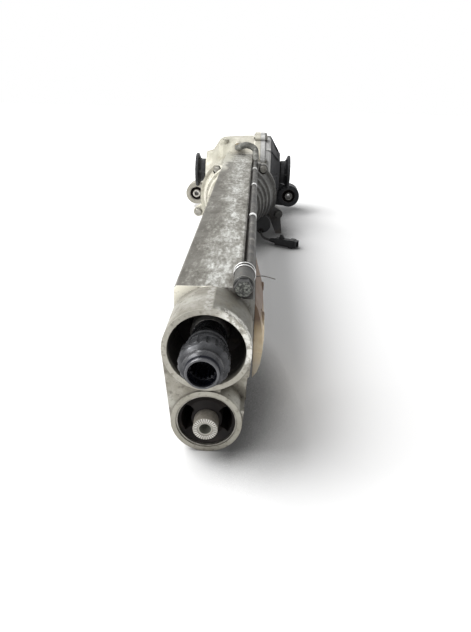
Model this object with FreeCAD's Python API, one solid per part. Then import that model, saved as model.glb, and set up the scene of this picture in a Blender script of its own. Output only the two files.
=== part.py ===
import FreeCAD, Part
import math
import os

# Front differential with a long torque tube. Millimetres.
# Origin: centre of the input coupling's mouth. +Y runs back along the input shaft,
# +X to the right seen from the input end, +Z up.

V = FreeCAD.Vector
X_AXIS = V(1, 0, 0)
Y_AXIS = V(0, 1, 0)
Z_AXIS = V(0, 0, 1)

# Clearances
FIT = 0.05                   # running and locating fits, on the radius
SEAT = 0.3                   # curved faces that rest near each other
FACE_GAP = 0.1               # thrust faces of turning pieces

# Main stations along Y and the heights of the unit
NOSE_FACE_Y = 37.0           # open end of the nose ring
BOX_FACE_Y = 89.0            # where the nose meets the box-shaped tube
JOINT_Y = 787.0              # bolted joint between the two castings
AXLE_Y = 987.0               # output axis
GROUND_Z = -101.5            # plane the unit stands on

# Nose and rear bush eye
NOSE_R = 37.75
NOSE_BORE_R = 33.0
EYE_Z = -70.0
EYE_R = 31.5
EYE_BORE_R = 27.0
EYE_LENGTH = 50.0
RIM_PROUD = 2.0              # how far both rims stand out of the web between them
POCKET_DEPTH = 24.0          # recess right of the web

NOSE_BOLT = (28.0, 39.0)      # X and Z of the bolt at the corner of the box face

# Box tube
TUBE_LEFT = -34.0
TUBE_RIGHT = 38.5
TUBE_BOTTOM = -40.0
TUBE_WALL = 7.0
STRIP_RIGHT = 26.0           # right edge of the flat top strip
TOP_AT_BOX = 37.0
TOP_SLOPE = 13.0 / 808.0     # the top strip climbs a little towards the axle
CHANNEL_DEPTH = 10.2         # channel for the breather pipe beside the strip
SHOULDER_DROP = 6.0          # bell and case left of the strip lie this much lower

# Bell and barrel round the pinion, both on one centre below the shaft
BARREL_Z = -20.0
FLANGE_R = 81.0
BARREL_R = 75.0
FLANGE_THICK = 12.0
BELL_START_Y = 590.0
BELL_WALL = 7.0
RIDGE_STATIONS = (672.0, 698.0, 722.0, 744.0)
RIDGE_WIDTH = 6.0
RIDGE_HEIGHT = 4.0
FLANGE_BOLTS = ((-45.0, 33.0), (50.0, 37.0), (-85.5, -56.0), (86.0, -56.0),
                (-42.0, -86.0), (24.0, -90.0))
LUG_R = 10.0

# Differential drum, turned about the output axis
COVER_SPLIT_X = 44.0
DRUM_LEFT_X = -86.0
COVER_RIGHT_X = 92.0
RIM_R = 86.0
CAVITY_R = 79.5
DRUM_WALL = 7.0
COVER_BOLT_COUNT = 8
COVER_BOLT_R = 88.5
COVER_LUG_R = 7.5
COVER_FLANGE_X = 54.0        # outer face of the cover's bolted rim
SUMP_FRONT_Y = 925.0
SUMP_BACK_Y = 1052.0
TOWER_X = -42.0              # hollow post on the left shoulder of the drum
TOWER_Y = AXLE_Y - 35.0
TOWER_TOP_Z = 77.0
UNION_X = -8.0               # breather union
UNION_Y = AXLE_Y - 77.0
UNION_Z = 66.0
FILL_X = -18.0               # oil filler in the back
FILL_Z = -12.0
FILL_R = 8.0
DRAIN_X = -8.0               # oil drain in the sump's back
DRAIN_Z = -86.0
DRAIN_R = 7.0

# Axle-side mounting ears
EAR_LEFT_X = -116.0
EAR_RIGHT_X = 122.0
EAR_Z = -65.0
EAR_FACE_Y = 1018.0
EAR_LENGTH = 40.0
EAR_R = 27.0
EAR_BORE_R = 17.8

# Rubber bushes
BUSH_WALL = 1.5
BUSH_BOLT_R = 5.25
EYE_SLEEVE_R = 10.9
EYE_SLEEVE_PROUD = 10.0
EAR_SLEEVE_R = 9.5
EAR_SLEEVE_PROUD = 3.0

# Input line
SHAFT_R = 13.5
COUPLING_R = 20.9
COUPLING_MOUTH_R = 13.4
PILOT_R = 11.5
PILOT_LENGTH = 12.0
COUPLING_LENGTH = 66.0
COUPLING_FLUTES = 18
SPLINE_TIP_R = 12.0
SPLINE_ROOT_R = 10.6
SPLINE_TEETH = 18
INPUT_BEARING_Y = 105.0
INPUT_SEAL_LAND_R = 17.4
SHAFT_START_Y = 37.0
SHAFT_END_Y = 778.0
SLEEVE_HALF = 26.0

# Ball bearing at the nose
BALL_BEARING = {"bore": 15.0, "outer": 31.0, "width": 16.0, "balls": 9, "ball_r": 4.5}

# Taper roller bearings: bore radius, cup radius, width, number of rollers
HEAD_BEARING = (17.5, 36.0, 21.0, 12)
TAIL_BEARING = (15.0, 31.0, 18.0, 12)
SIDE_BEARING = (20.0, 34.0, 19.0, 12)

# Final drive
RING_TEETH = 34
PINION_TEETH = 11
DRIVE_MODULE = 4.4
DRIVE_FACE = 24.0
DRIVE_SPIRAL_DEG = 11.0      # how far the ring's teeth lean over their length
DRIVE_BACKLASH = 0.5
DRIVE_LAND = 0.6             # plain root cone past both ends of the teeth
PINION_SHIM = 2.0

# Differential gears
SIDE_TEETH = 16
PLANET_TEETH = 10
DIFF_MODULE = 4.0
DIFF_FACE = 12.0
DIFF_BACKLASH = 0.4
PRESSURE_ANGLE = math.radians(20.0)
CROSS_PIN_R = 8.0
LOCK_PIN_R = 2.0
LOCK_PIN_Z = 42.0
THRUST_WASHER = 1.2
PLANET_BACK = 36.4
SIDE_BACK = 27.0
GEAR_HUB_R = 19.0
CARRIER_R = 48.0
CARRIER_FLANGE_R = 74.0
CARRIER_FLANGE = 9.0
RING_BACK_X = 42.0
RING_RIM = 4.2               # how far the ring gear's back stands out past its teeth's roots
RING_BOLT_COUNT = 10
RING_BOLT_R = 61.0
JOURNAL_END_X = {-1: 77.0, 1: 83.0}    # ends of the carrier's journals, left and right

# Output flanges
OUTPUT_RIM_R = 40.0
OUTPUT_HUB_R = 27.0
OUTPUT_RIM_THICK = 7.0
OUTPUT_REACH = 26.0          # from the seal face to the outer face of the rim
OUTPUT_HOLE_COUNT = 6
OUTPUT_PCD_R = 32.0
OUTPUT_HOLE_R = 4.25
OUTPUT_SPLINE_R = 15.0
OUTPUT_SPLINE_DEPTH = 1.5
OUTPUT_SPLINE_TEETH = 20
SEAL_R = 26.0
SEAL_LAND_R = 18.0
SEAL_WIDTH = 8.0

# Bolts: shank radius, length, head radius, head height, washer radius
COVER_BOLT = (3.0, 26.0, 6.2, 5.5, 6.8)
FLANGE_BOLT = (4.0, 20.0, 7.5, 7.0, 8.2)
BIG_NOSE_BOLT = (5.0, 26.0, 8.5, 9.0, 9.2)
RING_GEAR_BOLT = (4.0, 17.0, 7.0, 6.0, 7.6)
SHIELD_BOLT = (3.0, 5.8, 5.6, 4.0, 6.4)

# Shield on the right flank: its ends along Y and its bolts as (Y, Z)
SHIELD_START_Y = 96.0
SHIELD_END_Y = 236.0
SHIELD_BOLTS = ((SHIELD_START_Y + 24.0, -4.0), (SHIELD_END_Y - 34.0, -4.0))
SHIELD_STEPS = (0.0, 0.08, 0.2, 0.35, 0.5, 0.65, 0.8, 0.92, 1.0)

# Breather pipe and the pigtail of the actuator
PIPE_R = 4.2
PIPE_X = STRIP_RIGHT + PIPE_R + 2.6
PIPE_START_Y = BOX_FACE_Y + 60.0
CLIP_STATIONS = (BOX_FACE_Y + 270.0, BOX_FACE_Y + 480.0, BOX_FACE_Y + 640.0)
LEAD_R = 2.5
LEAD_ROUTE = ((50.0, 738.8, -83.5), (50.0, 724.0, -83.5),
              (57.0, 710.0, -93.0), (70.0, 703.5, -93.0))

ACTUATOR_X = 52.0
ACTUATOR_Z = -70.0
ACTUATOR_R = 19.0
ACTUATOR_LENGTH = 36.0
GLAND_LENGTH = 5.5
PLUG_LENGTH = 60.0

nodes = {}


def top_height(y):
    """Height of the top strip at a station."""
    return TOP_AT_BOX + (y - BOX_FACE_Y) * TOP_SLOPE


def placed(axis, centre, along, out):
    """Point at a distance along an axis and a radius out of it, in one half plane."""
    if axis == "X":
        return V(along, centre[0] + out, centre[1])
    if axis == "Y":
        return V(centre[0] + out, along, centre[1])
    return V(centre[0] + out, centre[1], along)


def turned(profile, axis="Y", centre=(0.0, 0.0)):
    """Solid of revolution of (along, radius) points about a line parallel to an axis."""
    points = [placed(axis, centre, along, radius) for along, radius in profile]
    face = Part.Face(Part.makePolygon(points + [points[0]]))
    direction = {"X": X_AXIS, "Y": Y_AXIS, "Z": Z_AXIS}[axis]
    return face.revolve(placed(axis, centre, 0.0, 0.0), direction, 360.0)


def rod(start, direction, radius, length):
    return Part.makeCylinder(radius, length, V(*start), direction)


def ring(axis, centre, start, end, inner, outer):
    """Plain tube between two stations on an axis."""
    return turned([(start, inner), (end, inner), (end, outer), (start, outer)], axis, centre)


def block(low, high):
    return Part.makeBox(high[0] - low[0], high[1] - low[1], high[2] - low[2], V(*low))


def slab_xz(points, start_y, end_y):
    """Prism of an outline in X and Z between two stations along Y."""
    corners = [V(x, start_y, z) for x, z in points]
    face = Part.Face(Part.makePolygon(corners + [corners[0]]))
    return face.extrude(V(0, end_y - start_y, 0))


def turned_about(solid, point, direction, degrees):
    copy = solid.copy()
    copy.rotate(point, direction, degrees)
    return copy


def hex_bolt(shank_r, length, head_r, head_height, washer_r=0.0):
    """Bolt standing on the origin: head above Z = 0, shank below."""
    corners = [V(head_r * math.cos(math.radians(60 * i)), head_r * math.sin(math.radians(60 * i)), 0)
               for i in range(7)]
    head = Part.Face(Part.makePolygon(corners)).extrude(V(0, 0, head_height))
    chamfer = turned([(0, 0), (0, head_r), (head_height - 1.0, head_r),
                      (head_height, head_r - 1.6), (head_height, 0)], "Z")
    head = head.common(chamfer)
    shank = rod((0, 0, -length), Z_AXIS, shank_r, length)
    bolt = head.fuse(shank)
    if washer_r:
        bolt = bolt.fuse(turned([(0, 0), (0, washer_r), (1.6, washer_r - 0.8), (1.6, 0)], "Z"))
    return bolt


def pointing(solid, direction, position):
    """Turn a piece made along +Z to a direction and put it in place."""
    copy = solid.copy()
    turn = FreeCAD.Rotation(Z_AXIS, V(*direction))
    copy.Placement = FreeCAD.Placement(V(*position), turn)
    return copy


def spline_outline(tip_r, root_r, teeth, station, axis="Y"):
    """Closed polygon of straight-sided splines in a plane across the axis."""
    points = []
    for i in range(teeth):
        for share, radius in ((-0.30, root_r), (-0.20, tip_r), (0.20, tip_r), (0.30, root_r)):
            angle = 2 * math.pi * (i + share) / teeth
            a, b = radius * math.cos(angle), radius * math.sin(angle)
            points.append(V(a, station, b) if axis == "Y" else V(station, AXLE_Y + a, b))
    return Part.Face(Part.makePolygon(points + [points[0]]))


def spline_bar(tip_r, root_r, teeth, start, end, axis="Y"):
    face = spline_outline(tip_r, root_r, teeth, start, axis)
    return face.extrude((Y_AXIS if axis == "Y" else X_AXIS) * (end - start))


def tube_along(route, radius):
    """Tube along straight runs joined by tangent arcs; returns it with its arc radii and length."""
    points = [V(*p) for p in route]
    edges = []
    radii = []
    start = points[0]
    for before, corner, after in zip(points, points[1:], points[2:]):
        arrive = (corner - before)
        leave = (after - corner)
        shorter = min(arrive.Length, leave.Length)
        half_turn = arrive.getAngle(leave) / 2
        cut = 0.45 * shorter
        radii.append(cut / math.tan(half_turn))
        first = corner - arrive.normalize() * cut
        last = corner + leave.normalize() * cut
        inward = (first + last) * 0.5 - corner
        bow = radii[-1] / math.cos(half_turn) - radii[-1]
        middle = corner + inward.normalize() * bow
        edges.append(Part.LineSegment(start, first).toShape())
        edges.append(Part.Arc(first, middle, last).toShape())
        start = last
    edges.append(Part.LineSegment(start, points[-1]).toShape())
    path = Part.Wire(edges)
    heading = (points[1] - points[0]).normalize()
    circle = Part.Wire([Part.Circle(points[0], heading, radius).toShape()])
    tube = path.makePipeShell([circle], True, True)
    return tube, radii, path.Length


# Torque tube: nose ring, bush eye, box tube and bell in one casting

def tube_outline(y):
    """Cross section of the box tube with its flat strip and the pipe channel."""
    top = top_height(y)
    floor = top - CHANNEL_DEPTH
    corner = 26.0
    low_left = V(TUBE_LEFT, y, TUBE_BOTTOM + corner)
    low_right = V(TUBE_RIGHT, y, TUBE_BOTTOM + corner)
    bottom_left = V(TUBE_LEFT + corner, y, TUBE_BOTTOM)
    bottom_right = V(TUBE_RIGHT - corner, y, TUBE_BOTTOM)
    bulge = corner * (1 - math.sqrt(0.5))
    mid_right = V(TUBE_RIGHT - bulge, y, TUBE_BOTTOM + bulge)
    mid_left = V(TUBE_LEFT + bulge, y, TUBE_BOTTOM + bulge)
    straight = [V(TUBE_LEFT, y, top - 3), V(TUBE_LEFT + 2.5, y, top), V(STRIP_RIGHT - 2, y, top),
                V(STRIP_RIGHT, y, top - 2), V(STRIP_RIGHT + 1, y, floor), V(TUBE_RIGHT - 2, y, floor),
                V(TUBE_RIGHT, y, floor - 2), low_right]
    edges = [Part.LineSegment(a, b).toShape() for a, b in zip(straight, straight[1:])]
    edges.append(Part.Arc(low_right, mid_right, bottom_right).toShape())
    edges.append(Part.LineSegment(bottom_right, bottom_left).toShape())
    edges.append(Part.Arc(bottom_left, mid_left, low_left).toShape())
    edges.append(Part.LineSegment(low_left, straight[0]).toShape())
    return Part.Wire(edges)


def bell_curve(extra):
    """Profile of the bell from the tube to the joint, offset outward by a given amount."""
    front = V(BELL_START_Y, 30.0 + extra, 0)
    middle = V(BELL_START_Y + 112.0, 50.0 + extra, 0)
    back = V(JOINT_Y - FLANGE_THICK, BARREL_R + extra, 0)
    return Part.Arc(front, middle, back).toShape().discretize(9)


def bell_solid(extra, end_y, nose_y):
    profile = [(nose_y, 0.0)] + [(p.x, p.y) for p in bell_curve(extra)]
    profile += [(end_y, BARREL_R + extra), (end_y, 0.0)]
    return turned(profile, "Y", (0.0, BARREL_Z))


def above_strip(start_y, end_y):
    """Everything above the strip's plane, the pipe channel on its right and the shoulder on its left."""
    high = 60.0
    side = [V(-120, start_y, top_height(start_y)), V(-120, end_y, top_height(end_y)),
            V(-120, end_y, top_height(end_y) + high), V(-120, start_y, top_height(start_y) + high)]
    slab = Part.Face(Part.makePolygon(side + [side[0]])).extrude(V(240, 0, 0))
    channel = slab.common(block((STRIP_RIGHT, start_y, -200), (TUBE_RIGHT, end_y, 200)))
    channel.translate(V(0, 0, -CHANNEL_DEPTH))
    shoulder = slab.common(block((-120, start_y, -200), (TUBE_LEFT, end_y, 200)))
    shoulder.translate(V(0, 0, -SHOULDER_DROP))
    return slab.multiFuse([channel, shoulder])


def at_flange_bolts(radius, start_y, end_y):
    """Rods on the joint's bolt axes, for holes, bosses and seats."""
    return [rod((x, start_y, z), Y_AXIS, radius, end_y - start_y) for x, z in FLANGE_BOLTS]


def joint_flange(start_y, end_y):
    """Round flange with a lug round each bolt, tied to the flange by its own hull."""
    plate = rod((0, start_y, BARREL_Z), Y_AXIS, FLANGE_R, end_y - start_y)
    pieces = []
    for x, z in FLANGE_BOLTS:
        pieces.append(rod((x, start_y, z), Y_AXIS, LUG_R, end_y - start_y))
        reach = math.hypot(x, z - BARREL_Z)
        across = V(-(z - BARREL_Z), 0, x) / reach * LUG_R
        web = [(x + across.x, z + across.z), (x - across.x, z - across.z),
               (x * 0.5 - across.x * 1.6, (z + BARREL_Z) * 0.5 - across.z * 1.6),
               (x * 0.5 + across.x * 1.6, (z + BARREL_Z) * 0.5 + across.z * 1.6)]
        pieces.append(slab_xz(web, start_y, end_y))
    return plate.multiFuse(pieces)


def torque_tube():
    nose = rod((0, NOSE_FACE_Y, 0), Y_AXIS, NOSE_R, BOX_FACE_Y + 12 - NOSE_FACE_Y)
    eye = rod((0, NOSE_FACE_Y, EYE_Z), Y_AXIS, EYE_R, EYE_LENGTH)
    lean = (NOSE_R - EYE_R) / -EYE_Z
    web = slab_xz([(-NOSE_R, -NOSE_R * lean), (NOSE_R, -NOSE_R * lean),
                   (EYE_R, EYE_Z - EYE_R * lean), (-EYE_R, EYE_Z - EYE_R * lean)],
                  NOSE_FACE_Y + RIM_PROUD, NOSE_FACE_Y + EYE_LENGTH)
    box_back = JOINT_Y - FLANGE_THICK
    box = Part.makeLoft([tube_outline(BOX_FACE_Y), tube_outline(box_back)], True, True)
    gusset_end = BOX_FACE_Y + 240.0
    keel = []
    for y, half, low in ((NOSE_FACE_Y + EYE_LENGTH - 8.0, EYE_R - 1.5, EYE_Z - 24.0),
                         (gusset_end, EYE_R - 8.0, TUBE_BOTTOM + 2.0)):
        keel.append(Part.makePolygon([V(-half, y, -20), V(half + 4, y, -20), V(half + 4, y, low + 22),
                                      V(half - 12, y, low), V(12 - half, y, low),
                                      V(-half, y, low + 16), V(-half, y, -20)]))
    gusset = Part.makeLoft(keel, True, True)
    bell = bell_solid(0.0, box_back, BELL_START_Y)
    flange = joint_flange(box_back, JOINT_Y)
    boss = rod((NOSE_BOLT[0], BOX_FACE_Y, NOSE_BOLT[1]), Y_AXIS, 9.5, 36.0)
    body = box.multiFuse([nose, eye, web, gusset, bell, flange, boss] + tube_ribs())
    return body.cut(Part.makeCompound(tube_hollows())).removeSplitter()


def tube_ribs():
    """Cast ribs under the tube and under the bell, and ridges round the bell."""
    ribs = []
    for x in (-20.0, 22.0):
        side = x - 2.5
        high, low = TUBE_BOTTOM + 4.0, TUBE_BOTTOM - 9.0
        outline = [V(side, BOX_FACE_Y + 150.0, high), V(side, BOX_FACE_Y + 200.0, low),
                   V(side, BELL_START_Y + 40.0, low), V(side, BELL_START_Y + 90.0, high)]
        ribs.append(Part.Face(Part.makePolygon(outline + [outline[0]])).extrude(V(5, 0, 0)))
    shell = bell_solid(RIDGE_HEIGHT, JOINT_Y - 4.0, BELL_START_Y + 4.0)
    for start_y in RIDGE_STATIONS:
        ribs.append(shell.common(rod((0, start_y, BARREL_Z), Y_AXIS, FLANGE_R, RIDGE_WIDTH)))
    for angle in (240.0, 270.0, 300.0):
        plate = block((0, BELL_START_Y, -2.2), (FLANGE_R + 3, JOINT_Y - 4.0, 2.2))
        plate.rotate(V(0, 0, 0), Y_AXIS, -angle)
        plate.translate(V(0, 0, BARREL_Z))
        ribs.append(plate.common(shell))
    return ribs


def tube_hollows():
    nose_bore = ring_bores()
    inside = block((TUBE_LEFT + TUBE_WALL, INPUT_BEARING_Y + 45, TUBE_BOTTOM + TUBE_WALL),
                   (STRIP_RIGHT - 1, JOINT_Y - 60, TOP_AT_BOX - CHANNEL_DEPTH - 1))
    inside = inside.makeFillet(12.0, [e for e in inside.Edges if abs(e.tangentAt(e.FirstParameter).y) > 0.9])
    bell_inside = bell_solid(-BELL_WALL, JOINT_Y + 1.0, BELL_START_Y + 14.0)
    roof = block((-200, BELL_START_Y, TOP_AT_BOX + 1.0), (200, JOINT_Y + 1.0, 200))
    kept = at_flange_bolts(LUG_R + 2.5, BELL_START_Y, JOINT_Y + 1.0) + [actuator_nest()]
    bell_inside = bell_inside.cut(roof).cut(Part.makeCompound(kept))
    eye_bore = rod((0, NOSE_FACE_Y - 1, EYE_Z), Y_AXIS, EYE_BORE_R + FIT, EYE_LENGTH + 2)
    behind_eye = rod((0, NOSE_FACE_Y + EYE_LENGTH, EYE_Z), Y_AXIS, EYE_BORE_R - 5.0, 14.0)
    pocket = block((12.0, NOSE_FACE_Y - 1, EYE_Z + 12), (EYE_R + 12, NOSE_FACE_Y + POCKET_DEPTH, EYE_Z + 46))
    pocket = pocket.cut(rod((0, NOSE_FACE_Y - 2, EYE_Z), Y_AXIS, EYE_R, EYE_LENGTH))
    pocket = pocket.cut(rod((0, NOSE_FACE_Y - 2, 0), Y_AXIS, NOSE_R, EYE_LENGTH))
    bolt_hole = rod((NOSE_BOLT[0], BOX_FACE_Y, NOSE_BOLT[1]), Y_AXIS, BIG_NOSE_BOLT[0] + FIT, 30.0)
    strip = above_strip(BELL_START_Y - 200.0, JOINT_Y + 1.0)
    hollows = nose_bore + [inside, bell_inside, eye_bore, behind_eye, pocket, bolt_hole, strip]
    nest = rod((ACTUATOR_X, JOINT_Y - FLANGE_THICK - ACTUATOR_LENGTH - 40.0, ACTUATOR_Z), Y_AXIS,
               ACTUATOR_R + SEAT, ACTUATOR_LENGTH + 40.0)
    hollows += [nest] + lug_spotfaces()
    return hollows + at_flange_bolts(FLANGE_BOLT[0] + SEAT, JOINT_Y - 30.0, JOINT_Y + 1.0)


def actuator_nest():
    """Wall that closes the bell behind the round actuator."""
    start = BELL_START_Y + 40.0
    return rod((ACTUATOR_X, start, ACTUATOR_Z), Y_AXIS, ACTUATOR_R + BELL_WALL, JOINT_Y + 1.0 - start)


def lug_spotfaces():
    """Flat seats for the bolt heads, cut into the bell where it comes too close."""
    return at_flange_bolts(LUG_R - 0.8, JOINT_Y - FLANGE_THICK - 22.0, JOINT_Y - FLANGE_THICK)


def ring_bores():
    bearing = BALL_BEARING
    shoulder_y = INPUT_BEARING_Y + bearing["width"] + FACE_GAP
    return [rod((0, NOSE_FACE_Y - 1, 0), Y_AXIS, NOSE_BORE_R, INPUT_BEARING_Y - 3 - NOSE_FACE_Y),
            rod((0, INPUT_BEARING_Y - 8, 0), Y_AXIS, bearing["outer"] + FIT,
                shoulder_y - INPUT_BEARING_Y + 8),
            rod((0, shoulder_y - 1, 0), Y_AXIS, bearing["outer"] - 6.0, 40.0)]


# Main case: barrel round the pinion, differential drum, sump and left ear

def drum_profile_outer():
    return [(DRUM_LEFT_X, 0.0), (DRUM_LEFT_X, 45.0), (-70.0, 50.0), (-62.0, 62.0), (-54.0, 74.0),
            (-44.0, 79.5), (-20.0, 81.5), (8.0, 83.5), (28.0, 84.0), (32.0, RIM_R),
            (COVER_SPLIT_X, RIM_R), (COVER_SPLIT_X, 0.0)]


def drum_profile_inner():
    cup_r = SIDE_BEARING[1]
    left_cup = JOURNAL_END_X[-1] - SIDE_BEARING[2]
    return [(-left_cup, 0.0), (-left_cup, cup_r - 4.0), (-left_cup + 3.0, cup_r + 6.0), (-49.0, 60.0),
            (-42.0, 70.0), (6.0, 75.0), (10.0, CAVITY_R), (COVER_SPLIT_X + 1.0, CAVITY_R),
            (COVER_SPLIT_X + 1.0, 0.0)]


def cover_lugs(start_x, end_x, radius):
    lugs = []
    for i in range(COVER_BOLT_COUNT):
        angle = 2 * math.pi * (i + 0.5) / COVER_BOLT_COUNT
        y = AXLE_Y + COVER_BOLT_R * math.cos(angle)
        z = COVER_BOLT_R * math.sin(angle)
        lugs.append(rod((start_x, y, z), X_AXIS, radius, end_x - start_x))
    return lugs


def ear_boss(x):
    return rod((x, EAR_FACE_Y, EAR_Z), Y_AXIS, EAR_R, EAR_LENGTH)


def ear_arm(x, root_x):
    """Tapered arm from the casting to its ear, with a rib on its front."""
    side = 1.0 if x > 0 else -1.0
    start_y = EAR_FACE_Y + 5.0
    end_y = EAR_FACE_Y + EAR_LENGTH - 5.0
    arm = slab_xz([(root_x, EAR_Z + 42.0), (x - side * 6.0, EAR_Z + EAR_R - 1.0),
                   (x - side * 4.0, EAR_Z - EAR_R + 1.0), (root_x, EAR_Z - 22.0)], start_y, end_y)
    rib = slab_xz([(root_x, EAR_Z + 26.0), (x - side * 22.0, EAR_Z + 8.0), (x - side * 22.0, EAR_Z + 2.0),
                   (root_x, EAR_Z + 19.0)], start_y - 4.0, end_y)
    return arm.fuse(rib)


def pinion_bores():
    head_r, tail_r = HEAD_BEARING[1], TAIL_BEARING[1]
    head_y = pinion_back_y() - HEAD_BEARING[2]
    return [rod((0, tail_cup_y() - 20.0, 0), Y_AXIS, tail_r + FIT, TAIL_BEARING[2] + 20.0),
            rod((0, tail_cup_y() + 1, 0), Y_AXIS, tail_r - 5.0, head_y - tail_cup_y()),
            rod((0, head_y - PINION_SHIM, 0), Y_AXIS, head_r + FIT, 60.0)]


def pinion_back_y():
    """Back face of the pinion head: the shoulder that the head bearing rests on."""
    return AXLE_Y - DRIVE_MODULE * RING_TEETH / 2 - 4.0


def tail_cup_y():
    return pinion_back_y() - 85.0


def main_case():
    strip_end = AXLE_Y - 75.0
    flange = joint_flange(JOINT_Y, JOINT_Y + FLANGE_THICK)
    barrel = turned([(JOINT_Y, 0.0), (JOINT_Y, BARREL_R), (JOINT_Y + 80.0, BARREL_R),
                     (AXLE_Y - 60.0, BARREL_R - 8.0), (AXLE_Y - 60.0, 0.0)], "Y", (0.0, BARREL_Z))
    drum = turned(drum_profile_outer(), "X", (AXLE_Y, 0.0))
    sump = slab_xz([(-46.0, -30.0), (-40.0, GROUND_Z + 6.0), (-34.0, GROUND_Z), (30.0, GROUND_Z),
                    (38.0, GROUND_Z + 8.0), (COVER_SPLIT_X, -30.0)], SUMP_FRONT_Y, SUMP_BACK_Y)
    strip = slab_xz([(TUBE_LEFT, BARREL_Z), (TUBE_LEFT, 49.0), (TUBE_LEFT + 3.0, 51.0),
                     (STRIP_RIGHT - 1, 51.0), (STRIP_RIGHT, 49.0), (STRIP_RIGHT, BARREL_Z)],
                    JOINT_Y + 1.0, strip_end + 20.0)
    strip = strip.cut(above_strip(JOINT_Y, strip_end + 30.0))
    tower = turned([(20.0, 0.0), (20.0, 12.0), (TOWER_TOP_Z - 6.0, 10.0), (TOWER_TOP_Z, 9.0),
                    (TOWER_TOP_Z, 0.0)], "Z", (TOWER_X, TOWER_Y))
    union_boss = rod((UNION_X, UNION_Y, UNION_Z), Y_AXIS, 8.0, 45.0)
    foot = slab_xz([(60.0, -50.0), (92.0, -60.0), (97.0, GROUND_Z), (84.0, GROUND_Z)],
                   JOINT_Y + 2.0, JOINT_Y + FLANGE_THICK)
    ribs = barrel_ribs()
    fill = rod((FILL_X, AXLE_Y + 60.0, FILL_Z), Y_AXIS, 14.0, 26.0)
    outer = barrel.multiFuse([flange, drum, sump, tower, union_boss, foot, fill,
                              ear_boss(EAR_LEFT_X), ear_arm(EAR_LEFT_X, -44.0)]
                             + ribs + cover_lugs(30.0, COVER_SPLIT_X, COVER_LUG_R))
    top_cut = above_strip(JOINT_Y - 1.0, AXLE_Y - 92.0)
    outer = outer.cut(top_cut).fuse(strip).cut(cover_space())
    return outer.cut(Part.makeCompound(case_hollows())).removeSplitter()


def cover_space():
    """Room for the side cover beyond the split, cleared out of the barrel."""
    return rod((COVER_SPLIT_X, AXLE_Y, 0), X_AXIS, RIM_R + 10.0, 100.0)


def barrel_ribs():
    """Ribs along the barrel from the joint flange into the drum."""
    ribs = []
    for angle in (-40.0, -15.0, 10.0, 170.0, 195.0, 220.0):
        plate = block((0, JOINT_Y + 4.0, -2.2), (BARREL_R + 5.0, AXLE_Y - 70.0, 2.2))
        plate.rotate(V(0, 0, 0), Y_AXIS, -angle)
        plate.translate(V(0, 0, BARREL_Z))
        ribs.append(plate)
    return ribs


def case_hollows():
    cavity = turned(drum_profile_inner(), "X", (AXLE_Y, 0.0))
    pinion_boss = rod((0, tail_cup_y() - 6.0, 0), Y_AXIS, HEAD_BEARING[1] + 9.0, 200.0)
    cavity = cavity.cut(rod((0, 0, 0), Y_AXIS, HEAD_BEARING[1] + 9.0, pinion_back_y() - 1.0))
    bore_x = -(JOURNAL_END_X[-1] + FACE_GAP)
    cup_bore = rod((bore_x, AXLE_Y, 0), X_AXIS, SIDE_BEARING[1] + FIT, SIDE_BEARING[2] + 8.0)
    seal_bore = rod((DRUM_LEFT_X - 6.0, AXLE_Y, 0), X_AXIS, SEAL_R + FIT, 30.0)
    pocket = rod((0, JOINT_Y - 1.0, BARREL_Z), Y_AXIS, BARREL_R - BELL_WALL, 86.0)
    roof = block((-200, JOINT_Y - 2, TOP_AT_BOX + 1.0), (200, AXLE_Y, 200))
    pocket = pocket.cut(roof).cut(pinion_boss)
    pocket = pocket.cut(Part.makeCompound(at_flange_bolts(LUG_R, JOINT_Y - 2, JOINT_Y + 32)))
    ear_bore = rod((EAR_LEFT_X, EAR_FACE_Y - 1, EAR_Z), Y_AXIS, EAR_BORE_R + FIT, EAR_LENGTH + 2)
    fill_hole = rod((FILL_X, AXLE_Y + 50.0, FILL_Z), Y_AXIS, FILL_R + FIT, 40.0)
    drain_hole = rod((DRAIN_X, SUMP_BACK_Y - 25.0, DRAIN_Z), Y_AXIS, DRAIN_R + FIT, 30.0)
    union_hole = rod((UNION_X, UNION_Y - 1, UNION_Z), Y_AXIS, 4.0 + FIT, 30.0)
    tower_hole = rod((TOWER_X, TOWER_Y, TOWER_TOP_Z - 18.0), Z_AXIS, 4.0, 20.0)
    hollows = [cavity, cup_bore, seal_bore, pocket, ear_bore, fill_hole, drain_hole, union_hole, tower_hole]
    hollows += pinion_bores()
    hollows += at_flange_bolts(FLANGE_BOLT[0] + SEAT, JOINT_Y - 1.0, JOINT_Y + FLANGE_THICK + 14.0)
    hollows += cover_lugs(24.0, COVER_SPLIT_X + 1.0, COVER_BOLT[0] + FIT)
    return hollows


# Side cover with the right ear

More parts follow.
